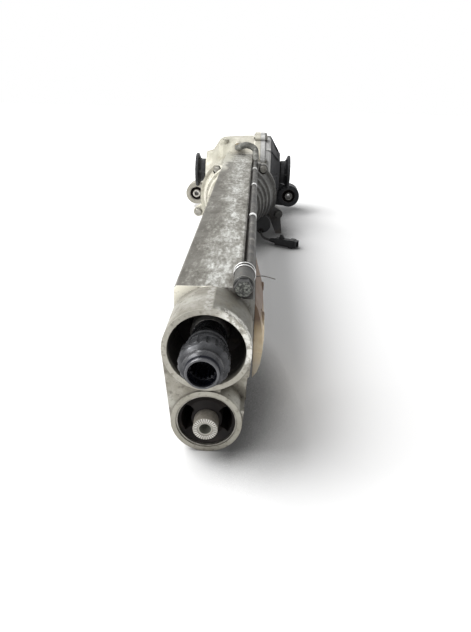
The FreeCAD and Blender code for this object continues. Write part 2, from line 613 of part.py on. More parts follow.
def side_cover():
    gap = SEAT
    start = COVER_SPLIT_X + gap
    shell = turned([(start, 0.0), (start, RIM_R), (COVER_FLANGE_X, RIM_R), (56.0, 82.5), (65.0, 81.0),
                    (71.0, 76.0), (78.0, 61.0), (84.0, 50.0), (COVER_RIGHT_X, 46.0), (COVER_RIGHT_X, 0.0)],
                   "X", (AXLE_Y, 0.0))
    cup_x = JOURNAL_END_X[1] - SIDE_BEARING[2]
    inside = turned([(start - 1.0, 0.0), (start - 1.0, CAVITY_R), (46.0, CAVITY_R), (54.0, 76.0),
                     (61.0, 71.0),
                     (cup_x + 1.0, 42.0), (cup_x + 1.0, 0.0)], "X", (AXLE_Y, 0.0))
    cup_bore = rod((cup_x - 6.0, AXLE_Y, 0), X_AXIS, SIDE_BEARING[1] + FIT, SIDE_BEARING[2] + 6.0 + FACE_GAP)
    seal_bore = rod((cup_x, AXLE_Y, 0), X_AXIS, SEAL_R + FIT, 40.0)
    ribs = []
    for i in range(COVER_BOLT_COUNT):
        rib = block((58.0, 44.0, -2.5), (COVER_RIGHT_X - 3.0, RIM_R - 1.5, 2.5))
        wedge = turned([(50.0, 40.0), (50.0, RIM_R), (67.0, RIM_R), (COVER_RIGHT_X - 3.0, 50.0),
                        (COVER_RIGHT_X - 3.0, 40.0)], "X", (0.0, 0.0))
        rib = rib.common(wedge)
        rib.rotate(V(0, 0, 0), X_AXIS, 360.0 * i / COVER_BOLT_COUNT)
        rib.translate(V(0, AXLE_Y, 0))
        ribs.append(rib)
    body = shell.multiFuse(cover_lugs(start, COVER_FLANGE_X, COVER_LUG_R) + ribs
                           + [ear_boss(EAR_RIGHT_X), ear_arm(EAR_RIGHT_X, 60.0)])
    ear_bore = rod((EAR_RIGHT_X, EAR_FACE_Y - 1, EAR_Z), Y_AXIS, EAR_BORE_R + FIT, EAR_LENGTH + 2)
    cuts = [inside, cup_bore, seal_bore, ear_bore] + cover_lugs(start - 1.0, 60.0, COVER_BOLT[0] + SEAT)
    cuts += cover_lugs(COVER_FLANGE_X, 90.0, 8.0)
    return body.cut(Part.makeCompound(cuts)).removeSplitter()


def case_gasket():
    sheet = ring("X", (AXLE_Y, 0.0), COVER_SPLIT_X, COVER_SPLIT_X + SEAT, CAVITY_R, RIM_R)
    holes = cover_lugs(COVER_SPLIT_X - 1, COVER_SPLIT_X + 1, COVER_BOLT[0] + SEAT)
    return sheet.cut(Part.makeCompound(holes))


# Fasteners and plugs

def cover_bolts():
    bolts = []
    pattern = hex_bolt(*COVER_BOLT)
    for i in range(COVER_BOLT_COUNT):
        angle = 2 * math.pi * (i + 0.5) / COVER_BOLT_COUNT
        y = AXLE_Y + COVER_BOLT_R * math.cos(angle)
        z = COVER_BOLT_R * math.sin(angle)
        bolts.append(pointing(pattern, (1, 0, 0), (COVER_FLANGE_X + FACE_GAP, y, z)))
    return Part.makeCompound(bolts)


def flange_bolts():
    pattern = hex_bolt(*FLANGE_BOLT)
    seat_y = JOINT_Y - FLANGE_THICK - FACE_GAP
    return Part.makeCompound([pointing(pattern, (0, -1, 0), (x, seat_y, z)) for x, z in FLANGE_BOLTS])


def nose_bolt():
    return pointing(hex_bolt(*BIG_NOSE_BOLT), (0, -1, 0),
                    (NOSE_BOLT[0], BOX_FACE_Y - FACE_GAP, NOSE_BOLT[1]))


def plug(shank_r, head_r, key_r, position):
    body = turned([(-16.0, 0.0), (-16.0, shank_r), (0.0, shank_r), (0.0, head_r), (4.0, head_r),
                   (4.0, key_r), (1.0, key_r), (1.0, 0.0)], "Y")
    body.translate(V(*position))
    return body


# Rubber bushes

def bush(prefix, x, z, face_y, length, bore_r, sleeve_r, proud, voids):
    """Outer sleeve, rubber with or without voids, and inner sleeve, on one axis along Y."""
    inner_wall = bore_r - BUSH_WALL
    low, high = face_y + 1.0, face_y + length - 1.0
    nodes[prefix + "_outer_sleeve"] = ring("Y", (x, z), low, high, inner_wall, bore_r)
    nodes[prefix + "_inner_sleeve"] = ring("Y", (x, z), face_y - proud, high + 2.0, BUSH_BOLT_R, sleeve_r)
    rubber_low, rubber_high = low + 3.0, high - 3.0
    rubber = turned([(rubber_low, sleeve_r + FIT), (rubber_high, sleeve_r + FIT),
                     (rubber_high - 3.0, (sleeve_r + inner_wall) / 2), (rubber_high, inner_wall - FIT),
                     (rubber_low, inner_wall - FIT), (rubber_low + 3.0, (sleeve_r + inner_wall) / 2)],
                    "Y", (x, z))
    if voids:
        middle = (sleeve_r + inner_wall) / 2
        cuts = []
        for side in (-1.0, 1.0):
            kidney = ring("Y", (x, z), rubber_low - 1, rubber_high + 1, middle - 4.5, middle + 4.5)
            wedge = slab_xz([(x, z), (x + side * 50.0, z + 40.0), (x + side * 50.0, z - 34.0)],
                            rubber_low - 1, rubber_high + 1)
            cuts.append(kidney.common(wedge))
        rubber = rubber.cut(Part.makeCompound(cuts))
    nodes[prefix + "_rubber"] = rubber


# Bearings and seals

def taper_bearing(size, start, widens):
    """Cup and cone with rollers about Y at the origin, its cup's wide end facing the given way."""
    bore, outer, width, count = size
    thickness = outer - bore
    roller_r = thickness * 0.17
    middle = bore + thickness * 0.52
    lean = thickness * 0.10
    tilt = math.atan(2 * lean / width)
    across = (roller_r + FIT) / math.cos(tilt)

    def roller_line(along):
        return middle + lean * (2 * along / width - 1)

    cup = [(start + 2.0, roller_line(2.0) + across), (start + width, roller_line(width) + across),
           (start + width, outer), (start + 2.0, outer)]
    cone = [(start, bore + FIT), (start + width, bore + FIT),
            (start + width, roller_line(width) - across + 2.0),
            (start + width - 2.0, roller_line(width) - across + 2.0),
            (start + width - 2.0, roller_line(width - 2.0) - across),
            (start, roller_line(0.0) - across)]
    rollers = []
    roller_length = width - 6.0
    for i in range(count):
        roller = rod((0, -roller_length / 2, 0), Y_AXIS, roller_r - FIT, roller_length)
        roller.rotate(V(0, 0, 0), Z_AXIS, -math.degrees(tilt))
        roller.translate(V(middle, start + width / 2, 0))
        roller.rotate(V(0, 0, 0), Y_AXIS, 360.0 * i / count)
        rollers.append(roller)
    pieces = [turned(cup), Part.makeCompound([turned(cone)] + rollers)]
    if not widens:
        for piece in pieces:
            piece.rotate(V(0, start + width / 2, 0), Z_AXIS, 180.0)
    return pieces


def side_bearing(side):
    """Carrier bearing on the output axis, on the left (-1) or the right (1)."""
    start = JOURNAL_END_X[side] - SIDE_BEARING[2]
    pieces = taper_bearing(SIDE_BEARING, start, False)
    for piece in pieces:
        piece.rotate(V(0, 0, 0), Z_AXIS, -90.0 if side > 0 else 90.0)
        piece.translate(V(0, AXLE_Y, 0))
    return pieces


def ball_bearing():
    size = BALL_BEARING
    start, end = INPUT_BEARING_Y, INPUT_BEARING_Y + size["width"]
    middle_r = (size["bore"] + size["outer"]) / 2
    groove = Part.makeTorus(middle_r, size["ball_r"] + FIT, V(0, (start + end) / 2, 0), Y_AXIS)
    inner = ring("Y", (0, 0), start, end, size["bore"] + FIT, middle_r - 3.2).cut(groove)
    outer = ring("Y", (0, 0), start, end, middle_r + 3.2, size["outer"]).cut(groove)
    balls = []
    for i in range(size["balls"]):
        angle = 2 * math.pi * i / size["balls"]
        centre = V(middle_r * math.cos(angle), (start + end) / 2, middle_r * math.sin(angle))
        balls.append(Part.makeSphere(size["ball_r"] - FIT, centre))
    return inner, outer, Part.makeCompound(balls)


def lip_seal(axis, centre, start, end, outer_r, land_r):
    """Steel-cased seal whose lip just clears its land."""
    lip = land_r + FIT
    return turned([(start, lip + 3.0), (start, outer_r), (end, outer_r), (end, lip + 4.0),
                   ((start + end) / 2, lip + 2.5), ((start + end) / 2 - 0.6, lip),
                   ((start + end) / 2 - 1.6, lip)], axis, centre)


# Input line: coupling, shaft, sleeve and pinion

def input_coupling():
    body = turned([(0.0, 0.0), (0.0, COUPLING_MOUTH_R - 0.5), (0.8, COUPLING_MOUTH_R),
                   (5.0, COUPLING_MOUTH_R + 0.3), (6.0, 16.2), (9.0, 16.6), (10.0, 15.6), (12.0, 15.6),
                   (13.5, COUPLING_R - 1.6), (15.0, COUPLING_R), (25.0, COUPLING_R), (27.0, COUPLING_R - 2.0),
                   (28.0, 16.4), (31.0, 16.4), (32.0, 18.2), (36.0, 18.2), (37.0, 16.0), (41.0, 16.0),
                   (42.0, 17.4), (46.0, 17.4), (47.0, 15.4), (COUPLING_LENGTH, 15.4), (COUPLING_LENGTH, 0.0)])
    flutes = []
    for i in range(COUPLING_FLUTES):
        flute = rod((COUPLING_R + 1.7, 12.0, 0), Y_AXIS, 2.6, 18.0)
        flute.rotate(V(0, 0, 0), Y_AXIS, 360.0 * i / COUPLING_FLUTES)
        flutes.append(flute)
    pilot = rod((0, -1, 0), Y_AXIS, PILOT_R, PILOT_LENGTH + 1)
    splines = spline_bar(SPLINE_TIP_R - 0.8, SPLINE_ROOT_R - 0.8, SPLINE_TEETH, PILOT_LENGTH - 1, 33.0)
    rear = spline_bar(SPLINE_TIP_R + FIT, SPLINE_ROOT_R + FIT, SPLINE_TEETH, 36.0, COUPLING_LENGTH + 1)
    return body.cut(Part.makeCompound(flutes + [pilot, splines, rear]))


def input_shaft():
    bearing_end = INPUT_BEARING_Y + BALL_BEARING["width"]
    land = INPUT_SEAL_LAND_R
    front = spline_bar(SPLINE_TIP_R, SPLINE_ROOT_R, SPLINE_TEETH, SHAFT_START_Y, COUPLING_LENGTH + 2.0)
    back = spline_bar(SPLINE_TIP_R, SPLINE_ROOT_R, SPLINE_TEETH, SHAFT_END_Y - 30.0, SHAFT_END_Y)
    bearing_r = BALL_BEARING["bore"]
    body = turned([(COUPLING_LENGTH + 1.0, 0.0), (COUPLING_LENGTH + 1.0, land - 2.0),
                   (COUPLING_LENGTH + 4.0, land), (INPUT_BEARING_Y - 1.0, land),
                   (INPUT_BEARING_Y - 1.0, bearing_r), (bearing_end, bearing_r),
                   (bearing_end + 2.0, SHAFT_R + 4.0), (bearing_end + 8.0, SHAFT_R + 4.0),
                   (bearing_end + 20.0, SHAFT_R), (SHAFT_END_Y - 60.0, SHAFT_R),
                   (SHAFT_END_Y - 40.0, SPLINE_TIP_R), (SHAFT_END_Y - 28.0, SPLINE_TIP_R),
                   (SHAFT_END_Y - 28.0, 0.0)])
    return body.fuse(front).fuse(back)


def coupling_sleeve():
    start, end = SHAFT_END_Y - 27.0, SHAFT_END_Y + SLEEVE_HALF
    body = turned([(start, 0.0), (start, 17.0), (start + 2.0, 18.5), (start + 8.0, 18.5),
                   (start + 10.0, 17.0), (end - 10.0, 17.0), (end - 8.0, 18.5), (end - 2.0, 18.5),
                   (end, 17.0), (end, 0.0)])
    return body.cut(spline_bar(SPLINE_TIP_R + FIT, SPLINE_ROOT_R + FIT, SPLINE_TEETH, start - 1, end + 1))


def involute(angle):
    return math.tan(angle) - angle


def bevel_gear(teeth, mate_teeth, module, face, backlash, phase_deg, lean_deg, sections, blank):
    """Bevel gear about +Z with its pitch apex at the origin and its teeth opening towards +Z.

    Tooth flanks are involutes on the back cone; each section is the outer one shrunk towards
    the apex, turned a little further when the teeth lean.
    """
    cone_angle = math.atan(teeth / mate_teeth)
    pitch_r = module * teeth / 2
    cone_distance = pitch_r / math.sin(cone_angle)
    back_r = pitch_r / math.cos(cone_angle)
    base_r = back_r * math.cos(PRESSURE_ANGLE)
    tip = back_r + module
    root = back_r - 1.25 * module
    buried = root - 0.8
    half_pitch = math.pi / (2 * teeth / math.cos(cone_angle)) - backlash / (2 * back_r)

    def half_angle(radius):
        bigger = max(radius, base_r)
        return half_pitch + involute(PRESSURE_ANGLE) - involute(math.acos(base_r / bigger))

    steps = [buried, root + 0.3 * module] + [root + module * share for share in (0.9, 1.4, 1.85)] + [tip]
    flank = [(r * math.sin(half_angle(r)), r * math.cos(half_angle(r)) - back_r) for r in steps]
    outline = [(-x, y) for x, y in flank] + [(x, y) for x, y in reversed(flank)]
    start = V(pitch_r, 0, cone_distance * math.cos(cone_angle))
    up = V(math.cos(cone_angle), 0, -math.sin(cone_angle))
    wires = []
    for i in range(sections):
        share = i / (sections - 1)
        scale = 1 - share * face / cone_distance
        points = [(start + up * y + V(0, x, 0)) * scale for x, y in outline]
        wire = Part.makePolygon(points + [points[0]])
        wire.rotate(V(0, 0, 0), Z_AXIS, phase_deg + lean_deg * share)
        wires.append(wire)
    tooth = Part.makeLoft(wires, True, True)
    teeth_all = [turned_about(tooth, V(0, 0, 0), Z_AXIS, 360.0 * i / teeth) for i in range(teeth)]
    return blank.multiFuse(teeth_all)


def cone_points(teeth, mate_teeth, module, face, land=0.0):
    """Root cone as (along, radius), outer end first, running a land past the teeth at both ends."""
    cone_angle = math.atan(teeth / mate_teeth)
    pitch_r = module * teeth / 2
    distance = pitch_r / math.sin(cone_angle)
    drop = 1.25 * module
    along = distance * math.cos(cone_angle) + drop * math.sin(cone_angle)
    radius = pitch_r - drop * math.cos(cone_angle)
    wide, narrow = 1 + land / distance, 1 - (face + land) / distance
    return (along * wide, radius * wide), (along * narrow, radius * narrow)


def pinion():
    outer, inner = cone_points(PINION_TEETH, RING_TEETH, DRIVE_MODULE, DRIVE_FACE, DRIVE_LAND)
    back = AXLE_Y - pinion_back_y()
    shaft_r, tail_r = HEAD_BEARING[0], TAIL_BEARING[0]
    head_end = AXLE_Y - (pinion_back_y() - HEAD_BEARING[2])
    tail_start = AXLE_Y - (tail_cup_y() + TAIL_BEARING[2])
    thread_end = AXLE_Y - (tail_cup_y() - 16.0)
    stub_end = AXLE_Y - (SHAFT_END_Y + 3.0)
    shaft = turned([(inner[0] - 0.5, 0.0), inner, outer, (back, outer[1]), (back, shaft_r),
                    (head_end + 2.0, shaft_r),
                    (head_end + 4.0, tail_r), (tail_start, tail_r), (thread_end, tail_r),
                    (thread_end, SPLINE_ROOT_R), (stub_end, SPLINE_ROOT_R), (stub_end, 0.0)], "Z")
    lean = -DRIVE_SPIRAL_DEG * RING_TEETH / PINION_TEETH
    gear = bevel_gear(PINION_TEETH, RING_TEETH, DRIVE_MODULE, DRIVE_FACE, DRIVE_BACKLASH, 0.0,
                      lean, 6, shaft)
    gear.rotate(V(0, 0, 0), X_AXIS, 90.0)
    gear.translate(V(0, AXLE_Y, 0))
    stub = spline_bar(SPLINE_TIP_R, SPLINE_ROOT_R - 1.0, SPLINE_TEETH, SHAFT_END_Y + 3.0, tail_cup_y() - 15.5)
    return gear.fuse(stub)


def pinion_nut():
    start, end = tail_cup_y() - 12.0, tail_cup_y() - FACE_GAP
    corners = [(23.0 * math.cos(math.radians(60 * i)), 23.0 * math.sin(math.radians(60 * i)))
               for i in range(6)]
    nut = slab_xz(corners, start, end - 2.0).fuse(rod((0, end - 3.0, 0), Y_AXIS, 22.0, 3.0))
    return nut.cut(rod((0, start - 1, 0), Y_AXIS, TAIL_BEARING[0] + FIT, 20.0))


def pinion_spacer():
    start = tail_cup_y() + TAIL_BEARING[2] + FACE_GAP
    end = pinion_back_y() - HEAD_BEARING[2] - FACE_GAP
    bore = HEAD_BEARING[0] + 0.6
    middle = (start + end) / 2
    return turned([(start, bore), (end, bore), (end, bore + 3.0), (middle + 8.0, bore + 3.0),
                   (middle + 4.0, bore + 5.0), (middle - 4.0, bore + 5.0), (middle - 8.0, bore + 3.0),
                   (start, bore + 3.0)])


def ring_gear():
    outer, inner = cone_points(RING_TEETH, PINION_TEETH, DRIVE_MODULE, DRIVE_FACE, DRIVE_LAND)
    bore = CARRIER_R + 1.5 + FIT
    rim = outer[1] + RING_RIM
    blank = turned([(inner[0] + 0.2, bore), inner, outer, (outer[0] + 3.0, rim), (RING_BACK_X, rim),
                    (RING_BACK_X, bore)], "Z")
    half_tooth = 180.0 / RING_TEETH
    gear = bevel_gear(RING_TEETH, PINION_TEETH, DRIVE_MODULE, DRIVE_FACE, DRIVE_BACKLASH,
                      half_tooth, DRIVE_SPIRAL_DEG, 6, blank)
    gear.rotate(V(0, 0, 0), Z_AXIS, 180.0)
    gear.rotate(V(0, 0, 0), Y_AXIS, 90.0)
    gear.rotate(V(0, 0, 0), X_AXIS, 90.0)
    gear.translate(V(0, AXLE_Y, 0))
    holes = [rod((RING_BACK_X - 10.0, y, z), X_AXIS, RING_GEAR_BOLT[0] + FIT, 12.0)
             for y, z in ring_bolt_places()]
    return gear.cut(Part.makeCompound(holes))


def ring_bolt_places():
    places = []
    for i in range(RING_BOLT_COUNT):
        angle = 2 * math.pi * (i + 0.5) / RING_BOLT_COUNT
        places.append((AXLE_Y + RING_BOLT_R * math.cos(angle), RING_BOLT_R * math.sin(angle)))
    return places


def ring_gear_bolts():
    pattern = hex_bolt(*RING_GEAR_BOLT)
    seat = RING_BACK_X + CARRIER_FLANGE + 2 * FACE_GAP
    return Part.makeCompound([pointing(pattern, (1, 0, 0), (seat, y, z)) for y, z in ring_bolt_places()])


# Differential carrier and the gears in it

def diff_carrier():
    journal_r = SIDE_BEARING[0]
    left_end, right_end = JOURNAL_END_X[-1], JOURNAL_END_X[1]
    left_shoulder, shoulder = left_end - SIDE_BEARING[2], right_end - SIDE_BEARING[2]
    flange_x = RING_BACK_X + FACE_GAP
    flange_end = flange_x + CARRIER_FLANGE
    body = turned([(-left_end, 0.0), (-left_end, journal_r), (-left_shoulder, journal_r),
                   (-left_shoulder, journal_r + 6.0), (-50.0, journal_r + 9.0), (-40.0, CARRIER_R),
                   (20.0, CARRIER_R), (20.0, CARRIER_R + 1.5), (flange_x, CARRIER_R + 1.5),
                   (flange_x, CARRIER_FLANGE_R), (flange_end, CARRIER_FLANGE_R), (flange_end, 50.0),
                   (shoulder, journal_r + 6.0), (shoulder, journal_r), (right_end, journal_r),
                   (right_end, 0.0)], "X", (AXLE_Y, 0.0))
    pocket_x = SIDE_BACK + THRUST_WASHER + 3 * FACE_GAP
    chamber = ring("X", (AXLE_Y, 0.0), -pocket_x, pocket_x, 0.0, 38.2)
    planet_seat = PLANET_BACK + THRUST_WASHER + 3 * FACE_GAP
    chamber = chamber.common(block((-80, AXLE_Y - 60, -planet_seat), (80, AXLE_Y + 60, planet_seat)))
    planet_pocket = rod((0, AXLE_Y, -planet_seat), Z_AXIS, 24.2, 2 * planet_seat)
    window = block((-25.0, AXLE_Y - 60, -23.0), (19.0, AXLE_Y + 60, 23.0))
    window = window.makeFillet(8.0, [e for e in window.Edges if abs(e.tangentAt(e.FirstParameter).y) > 0.9])
    gear_bore = rod((-60, AXLE_Y, 0), X_AXIS, GEAR_HUB_R + FIT, 120.0)
    shaft_bore = rod((-left_end - 1, AXLE_Y, 0), X_AXIS, OUTPUT_SPLINE_R + 1.4, left_end + right_end + 2)
    pin_bore = rod((0, AXLE_Y, -80), Z_AXIS, CROSS_PIN_R + FIT, 160.0)
    lock_hole = rod((-45.0, AXLE_Y, LOCK_PIN_Z), X_AXIS, LOCK_PIN_R + FIT, 57.0)
    holes = [rod((flange_x - 2, y, z), X_AXIS, RING_GEAR_BOLT[0] + SEAT, CARRIER_FLANGE + 4)
             for y, z in ring_bolt_places()]
    hollows = [chamber, planet_pocket, window, gear_bore, shaft_bore, pin_bore, lock_hole]
    return body.cut(Part.makeCompound(hollows + holes))


def cross_pin():
    pin = rod((0, AXLE_Y, -CARRIER_R + 1.0), Z_AXIS, CROSS_PIN_R, 2 * CARRIER_R - 2.0)
    return pin.cut(rod((-12, AXLE_Y, LOCK_PIN_Z), X_AXIS, LOCK_PIN_R + FIT, 24.0))


def lock_pin():
    return rod((-11.0, AXLE_Y, LOCK_PIN_Z), X_AXIS, LOCK_PIN_R, 22.0)


def output_splines(extra, start, end):
    """Splines between a side gear and its output flange, grown by a fit for the bore."""
    tip = OUTPUT_SPLINE_R + extra
    return spline_bar(tip, tip - OUTPUT_SPLINE_DEPTH, OUTPUT_SPLINE_TEETH, start, end, "X")


def side_gear(side):
    outer, inner = cone_points(SIDE_TEETH, PLANET_TEETH, DIFF_MODULE, DIFF_FACE)
    blank = turned([(inner[0] - 0.5, 0.0), (inner[0] - 0.2, inner[1] - 1.0), inner, outer,
                    (SIDE_BACK, outer[1] + 2.0), (SIDE_BACK, GEAR_HUB_R), (50.0, GEAR_HUB_R),
                    (50.0, 0.0)], "Z")
    gear = bevel_gear(SIDE_TEETH, PLANET_TEETH, DIFF_MODULE, DIFF_FACE, DIFF_BACKLASH,
                      180.0 / SIDE_TEETH, 0.0, 2, blank)
    gear.rotate(V(0, 0, 0), Y_AXIS, 90.0 * side)
    gear.translate(V(0, AXLE_Y, 0))
    bore = output_splines(FIT, -60.0, 60.0)
    clear = rod((-inner[0], AXLE_Y, 0), X_AXIS, inner[1] - 5.0, 2 * inner[0])
    return gear.cut(bore).cut(clear)


def planet_gear(side):
    outer, inner = cone_points(PLANET_TEETH, SIDE_TEETH, DIFF_MODULE, DIFF_FACE)
    blank = turned([(inner[0] - 0.2, 0.0), inner, outer, (PLANET_BACK, outer[1] + 2.0),
                    (PLANET_BACK, 0.0)], "Z")
    gear = bevel_gear(PLANET_TEETH, SIDE_TEETH, DIFF_MODULE, DIFF_FACE, DIFF_BACKLASH, 0.0, 0.0, 2, blank)
    if side < 0:
        gear.rotate(V(0, 0, 0), X_AXIS, 180.0)
    gear.translate(V(0, AXLE_Y, 0))
    return gear.cut(rod((0, AXLE_Y, -60), Z_AXIS, CROSS_PIN_R + FIT, 120.0))


def thrust_washers():
    """Two washers behind the side gears and two behind the planets."""
    pieces = []
    for side in (-1.0, 1.0):
        near = SIDE_BACK + FACE_GAP
        a, b = sorted((side * near, side * (near + THRUST_WASHER)))
        pieces.append(ring("X", (AXLE_Y, 0.0), a, b, GEAR_HUB_R + FIT * 2, 28.0))
        near = PLANET_BACK + FACE_GAP
        a, b = sorted((side * near, side * (near + THRUST_WASHER)))
        pieces.append(ring("Z", (0.0, AXLE_Y), a, b, CROSS_PIN_R + FIT, 17.0))
    return Part.makeCompound(pieces)


def output_flange(side):
    """Output flange with its seal land and splined shaft, drawn for the right side."""
    case_x = COVER_RIGHT_X if side > 0 else -DRUM_LEFT_X
    face = case_x + OUTPUT_REACH
    rim_back = face - OUTPUT_RIM_THICK
    neck = case_x + 1.0
    journal_end = JOURNAL_END_X[side] + 1.0
    shaft_r = OUTPUT_SPLINE_R + 1.0
    body = turned([(face, 0.0), (face, OUTPUT_RIM_R - 1.0), (face - 1.0, OUTPUT_RIM_R),
                   (rim_back + 1.0, OUTPUT_RIM_R), (rim_back - 4.0, OUTPUT_HUB_R + 2.0),
                   (rim_back - 7.0, OUTPUT_HUB_R), (neck + 3.0, OUTPUT_HUB_R),
                   (neck, OUTPUT_HUB_R - 2.0), (neck, SEAL_LAND_R), (journal_end, SEAL_LAND_R),
                   (journal_end, shaft_r), (51.0, shaft_r), (51.0, 0.0)], "X", (0.0, 0.0))
    cup = turned([(face + 1.0, 0.0), (face + 1.0, 23.0), (face - 5.0, 22.0), (face - 6.0, 14.0),
                  (face - 11.0, 12.0), (face - 11.0, 0.0)], "X", (0.0, 0.0))
    holes = []
    for i in range(OUTPUT_HOLE_COUNT):
        angle = 2 * math.pi * i / OUTPUT_HOLE_COUNT
        holes.append(rod((rim_back - 14.0, OUTPUT_PCD_R * math.cos(angle), OUTPUT_PCD_R * math.sin(angle)),
                         X_AXIS, OUTPUT_HOLE_R, 30.0))
    body = body.cut(Part.makeCompound([cup] + holes))
    if side < 0:
        body.rotate(V(0, 0, 0), Z_AXIS, 180.0)
    body.translate(V(0, AXLE_Y, 0))
    start, end = sorted((side * 14.0, side * 52.0))
    return body.fuse(output_splines(0.0, start, end))


# Pieces fixed to the outside

def side_shield():
    """Bulged cover on the right flank behind the nose, lofted between three ribs' outlines."""
    sections = []
    for y, bulge, drop in ((SHIELD_START_Y, 0.82, 0.0), (SHIELD_START_Y + 30.0, 1.0, 0.0),
                           (SHIELD_END_Y - 25.0, 0.9, 8.0), (SHIELD_END_Y, 0.35, 16.0)):
        flat = TUBE_RIGHT + SEAT
        out = flat + 11.5 * bulge
        low = -58.0 + drop
        high = 20.0
        outline = []
        for share in SHIELD_STEPS:
            swell = max(math.sin(math.pi * share), 0.0) ** 0.6 * (1.15 - 0.45 * share)
            outline.append(V(flat + (out - flat) * swell, y, low + (high - low) * share))
        sections.append(Part.makePolygon(outline + [outline[0]]))
    body = Part.makeLoft(sections, True, True)
    holes = [rod((TUBE_RIGHT - 1.0, y, z), X_AXIS, SHIELD_BOLT[0] + SEAT, 30.0) for y, z in SHIELD_BOLTS]
    seats = [rod((TUBE_RIGHT + 6.0, y, z), X_AXIS, 8.0, 30.0) for y, z in SHIELD_BOLTS]
    return body.cut(Part.makeCompound(holes + seats))


def shield_bolts():
    pattern = hex_bolt(*SHIELD_BOLT)
    return Part.makeCompound([pointing(pattern, (1, 0, 0), (TUBE_RIGHT + 6.0 + FACE_GAP, y, z))
                              for y, z in SHIELD_BOLTS])


def pipe_height(y):
    return top_height(y) - CHANNEL_DEPTH + PIPE_R + FACE_GAP


def breather_route():
    """Along the channel, up past the barrel and over to the union on the drum."""
    rise_y = AXLE_Y - 160.0
    hook_y = AXLE_Y - 103.0
    return ((PIPE_X, PIPE_START_Y, pipe_height(PIPE_START_Y)),
            (PIPE_X, rise_y, pipe_height(rise_y)),
            (PIPE_X + 1.5, hook_y - 22.0, 48.0),
            (PIPE_X - 1.0, hook_y, 66.0),
            (UNION_X + 20.0, hook_y + 2.0, 74.0),
            (UNION_X, hook_y - 5.0, UNION_Z),
            (UNION_X, UNION_Y - 8.0, UNION_Z))


def breather_pipe():
    tube, radii, length = tube_along(breather_route(), PIPE_R)
    print("breather pipe: arc radii", [round(r, 1) for r in radii], "length", round(length, 1))
    return tube


def breather_clips():
    """Spring clips that hold the breather pipe in its channel."""
    clips = []
    for y in CLIP_STATIONS:
        sides = block((PIPE_X - PIPE_R - 0.9, y - 5, pipe_height(y) - 1),
                      (PIPE_X + PIPE_R + 1.1, y + 5, pipe_height(y)))
        hoop = ring("Y", (PIPE_X, pipe_height(y)), y - 5.0, y + 5.0, PIPE_R + 0.25, PIPE_R + 1.2)
        upper = block((PIPE_X - 9, y - 6, pipe_height(y) - 1.0), (PIPE_X + 9, y + 6, pipe_height(y) + 12))
        foot = block((PIPE_X + PIPE_R + 0.3, y - 5, pipe_height(y) - PIPE_R + 1),
                     (PIPE_X + PIPE_R + 1.2, y + 5, pipe_height(y) + 0.5))
        room = sides.common(rod((PIPE_X, y - 6, pipe_height(y)), Y_AXIS, PIPE_R + 0.25, 12))
        clips.append(hoop.common(upper).fuse(foot).cut(room))
    return Part.makeCompound(clips)


def breather_union():
    corners = []
    for i in range(6):
        angle = math.radians(60 * i)
        corners.append((UNION_X + 7.5 * math.cos(angle), UNION_Z + 7.5 * math.sin(angle)))
    body = slab_xz(corners, UNION_Y - 8.0, UNION_Y - FACE_GAP)
    body = body.fuse(rod((UNION_X, UNION_Y - 2, UNION_Z), Y_AXIS, 4.0, 14.0))
    return body.cut(rod((UNION_X, UNION_Y - 9, UNION_Z), Y_AXIS, 1.8, 40.0))


# Actuator on the bell and its pigtail

def actuator_body():
    """Round motor housing that sits on the bell in front of the joint flange."""
    start = JOINT_Y - FLANGE_THICK - FACE_GAP
    front = start - ACTUATOR_LENGTH
    groove_r = ACTUATOR_R - 1.6
    return turned([(start, 0.0), (start, ACTUATOR_R), (start - 8.0, ACTUATOR_R), (start - 8.0, groove_r),
                   (start - 11.0, groove_r), (start - 11.0, ACTUATOR_R), (front + 12.0, ACTUATOR_R),
                   (front + 12.0, groove_r), (front + 9.0, groove_r), (front + 9.0, ACTUATOR_R),
                   (front + 2.0, ACTUATOR_R), (front, ACTUATOR_R - 1.0), (front, 0.0)],
                  "Y", (ACTUATOR_X, ACTUATOR_Z))


def lead_gland():
    x, y, z = LEAD_ROUTE[0]
    return ring("Y", (x, z), y - GLAND_LENGTH, y, LEAD_R + FACE_GAP, LEAD_R + 2.6)


def connector():
    """Plug housing on the end of the lead, with its boot, collar and latch fin."""
    tail = V(*LEAD_ROUTE[-1])
    heading = tail - V(*LEAD_ROUTE[-2])
    boot = turned([(0.0, 0.0), (0.0, LEAD_R + 1.2), (14.0, LEAD_R + 3.0), (14.0, 0.0)], "X")
    shell = block((14.0, -8.0, -7.2), (PLUG_LENGTH, 8.0, 7.2))
    shell = shell.makeFillet(2.4, [e for e in shell.Edges if abs(e.tangentAt(e.FirstParameter).x) > 0.9])
    collar = block((PLUG_LENGTH - 16.0, -9.2, -8.3), (PLUG_LENGTH - 6.0, 9.2, 8.3))
    fin = Part.makePolygon([V(20, -2, 6.5), V(33, -2, 6.5), V(27, -2, 15.0), V(23, -2, 15.0), V(20, -2, 6.5)])
    fin = Part.Face(fin).extrude(V(0, 4, 0))
    mouth = block((PLUG_LENGTH - 18.0, -6.0, -5.2), (PLUG_LENGTH + 1.0, 6.0, 5.2))
    body = boot.multiFuse([shell, collar, fin]).cut(mouth)
    body.rotate(V(0, 0, 0), Z_AXIS, math.degrees(math.atan2(heading.y, heading.x)))
    body.translate(tail)
    return body


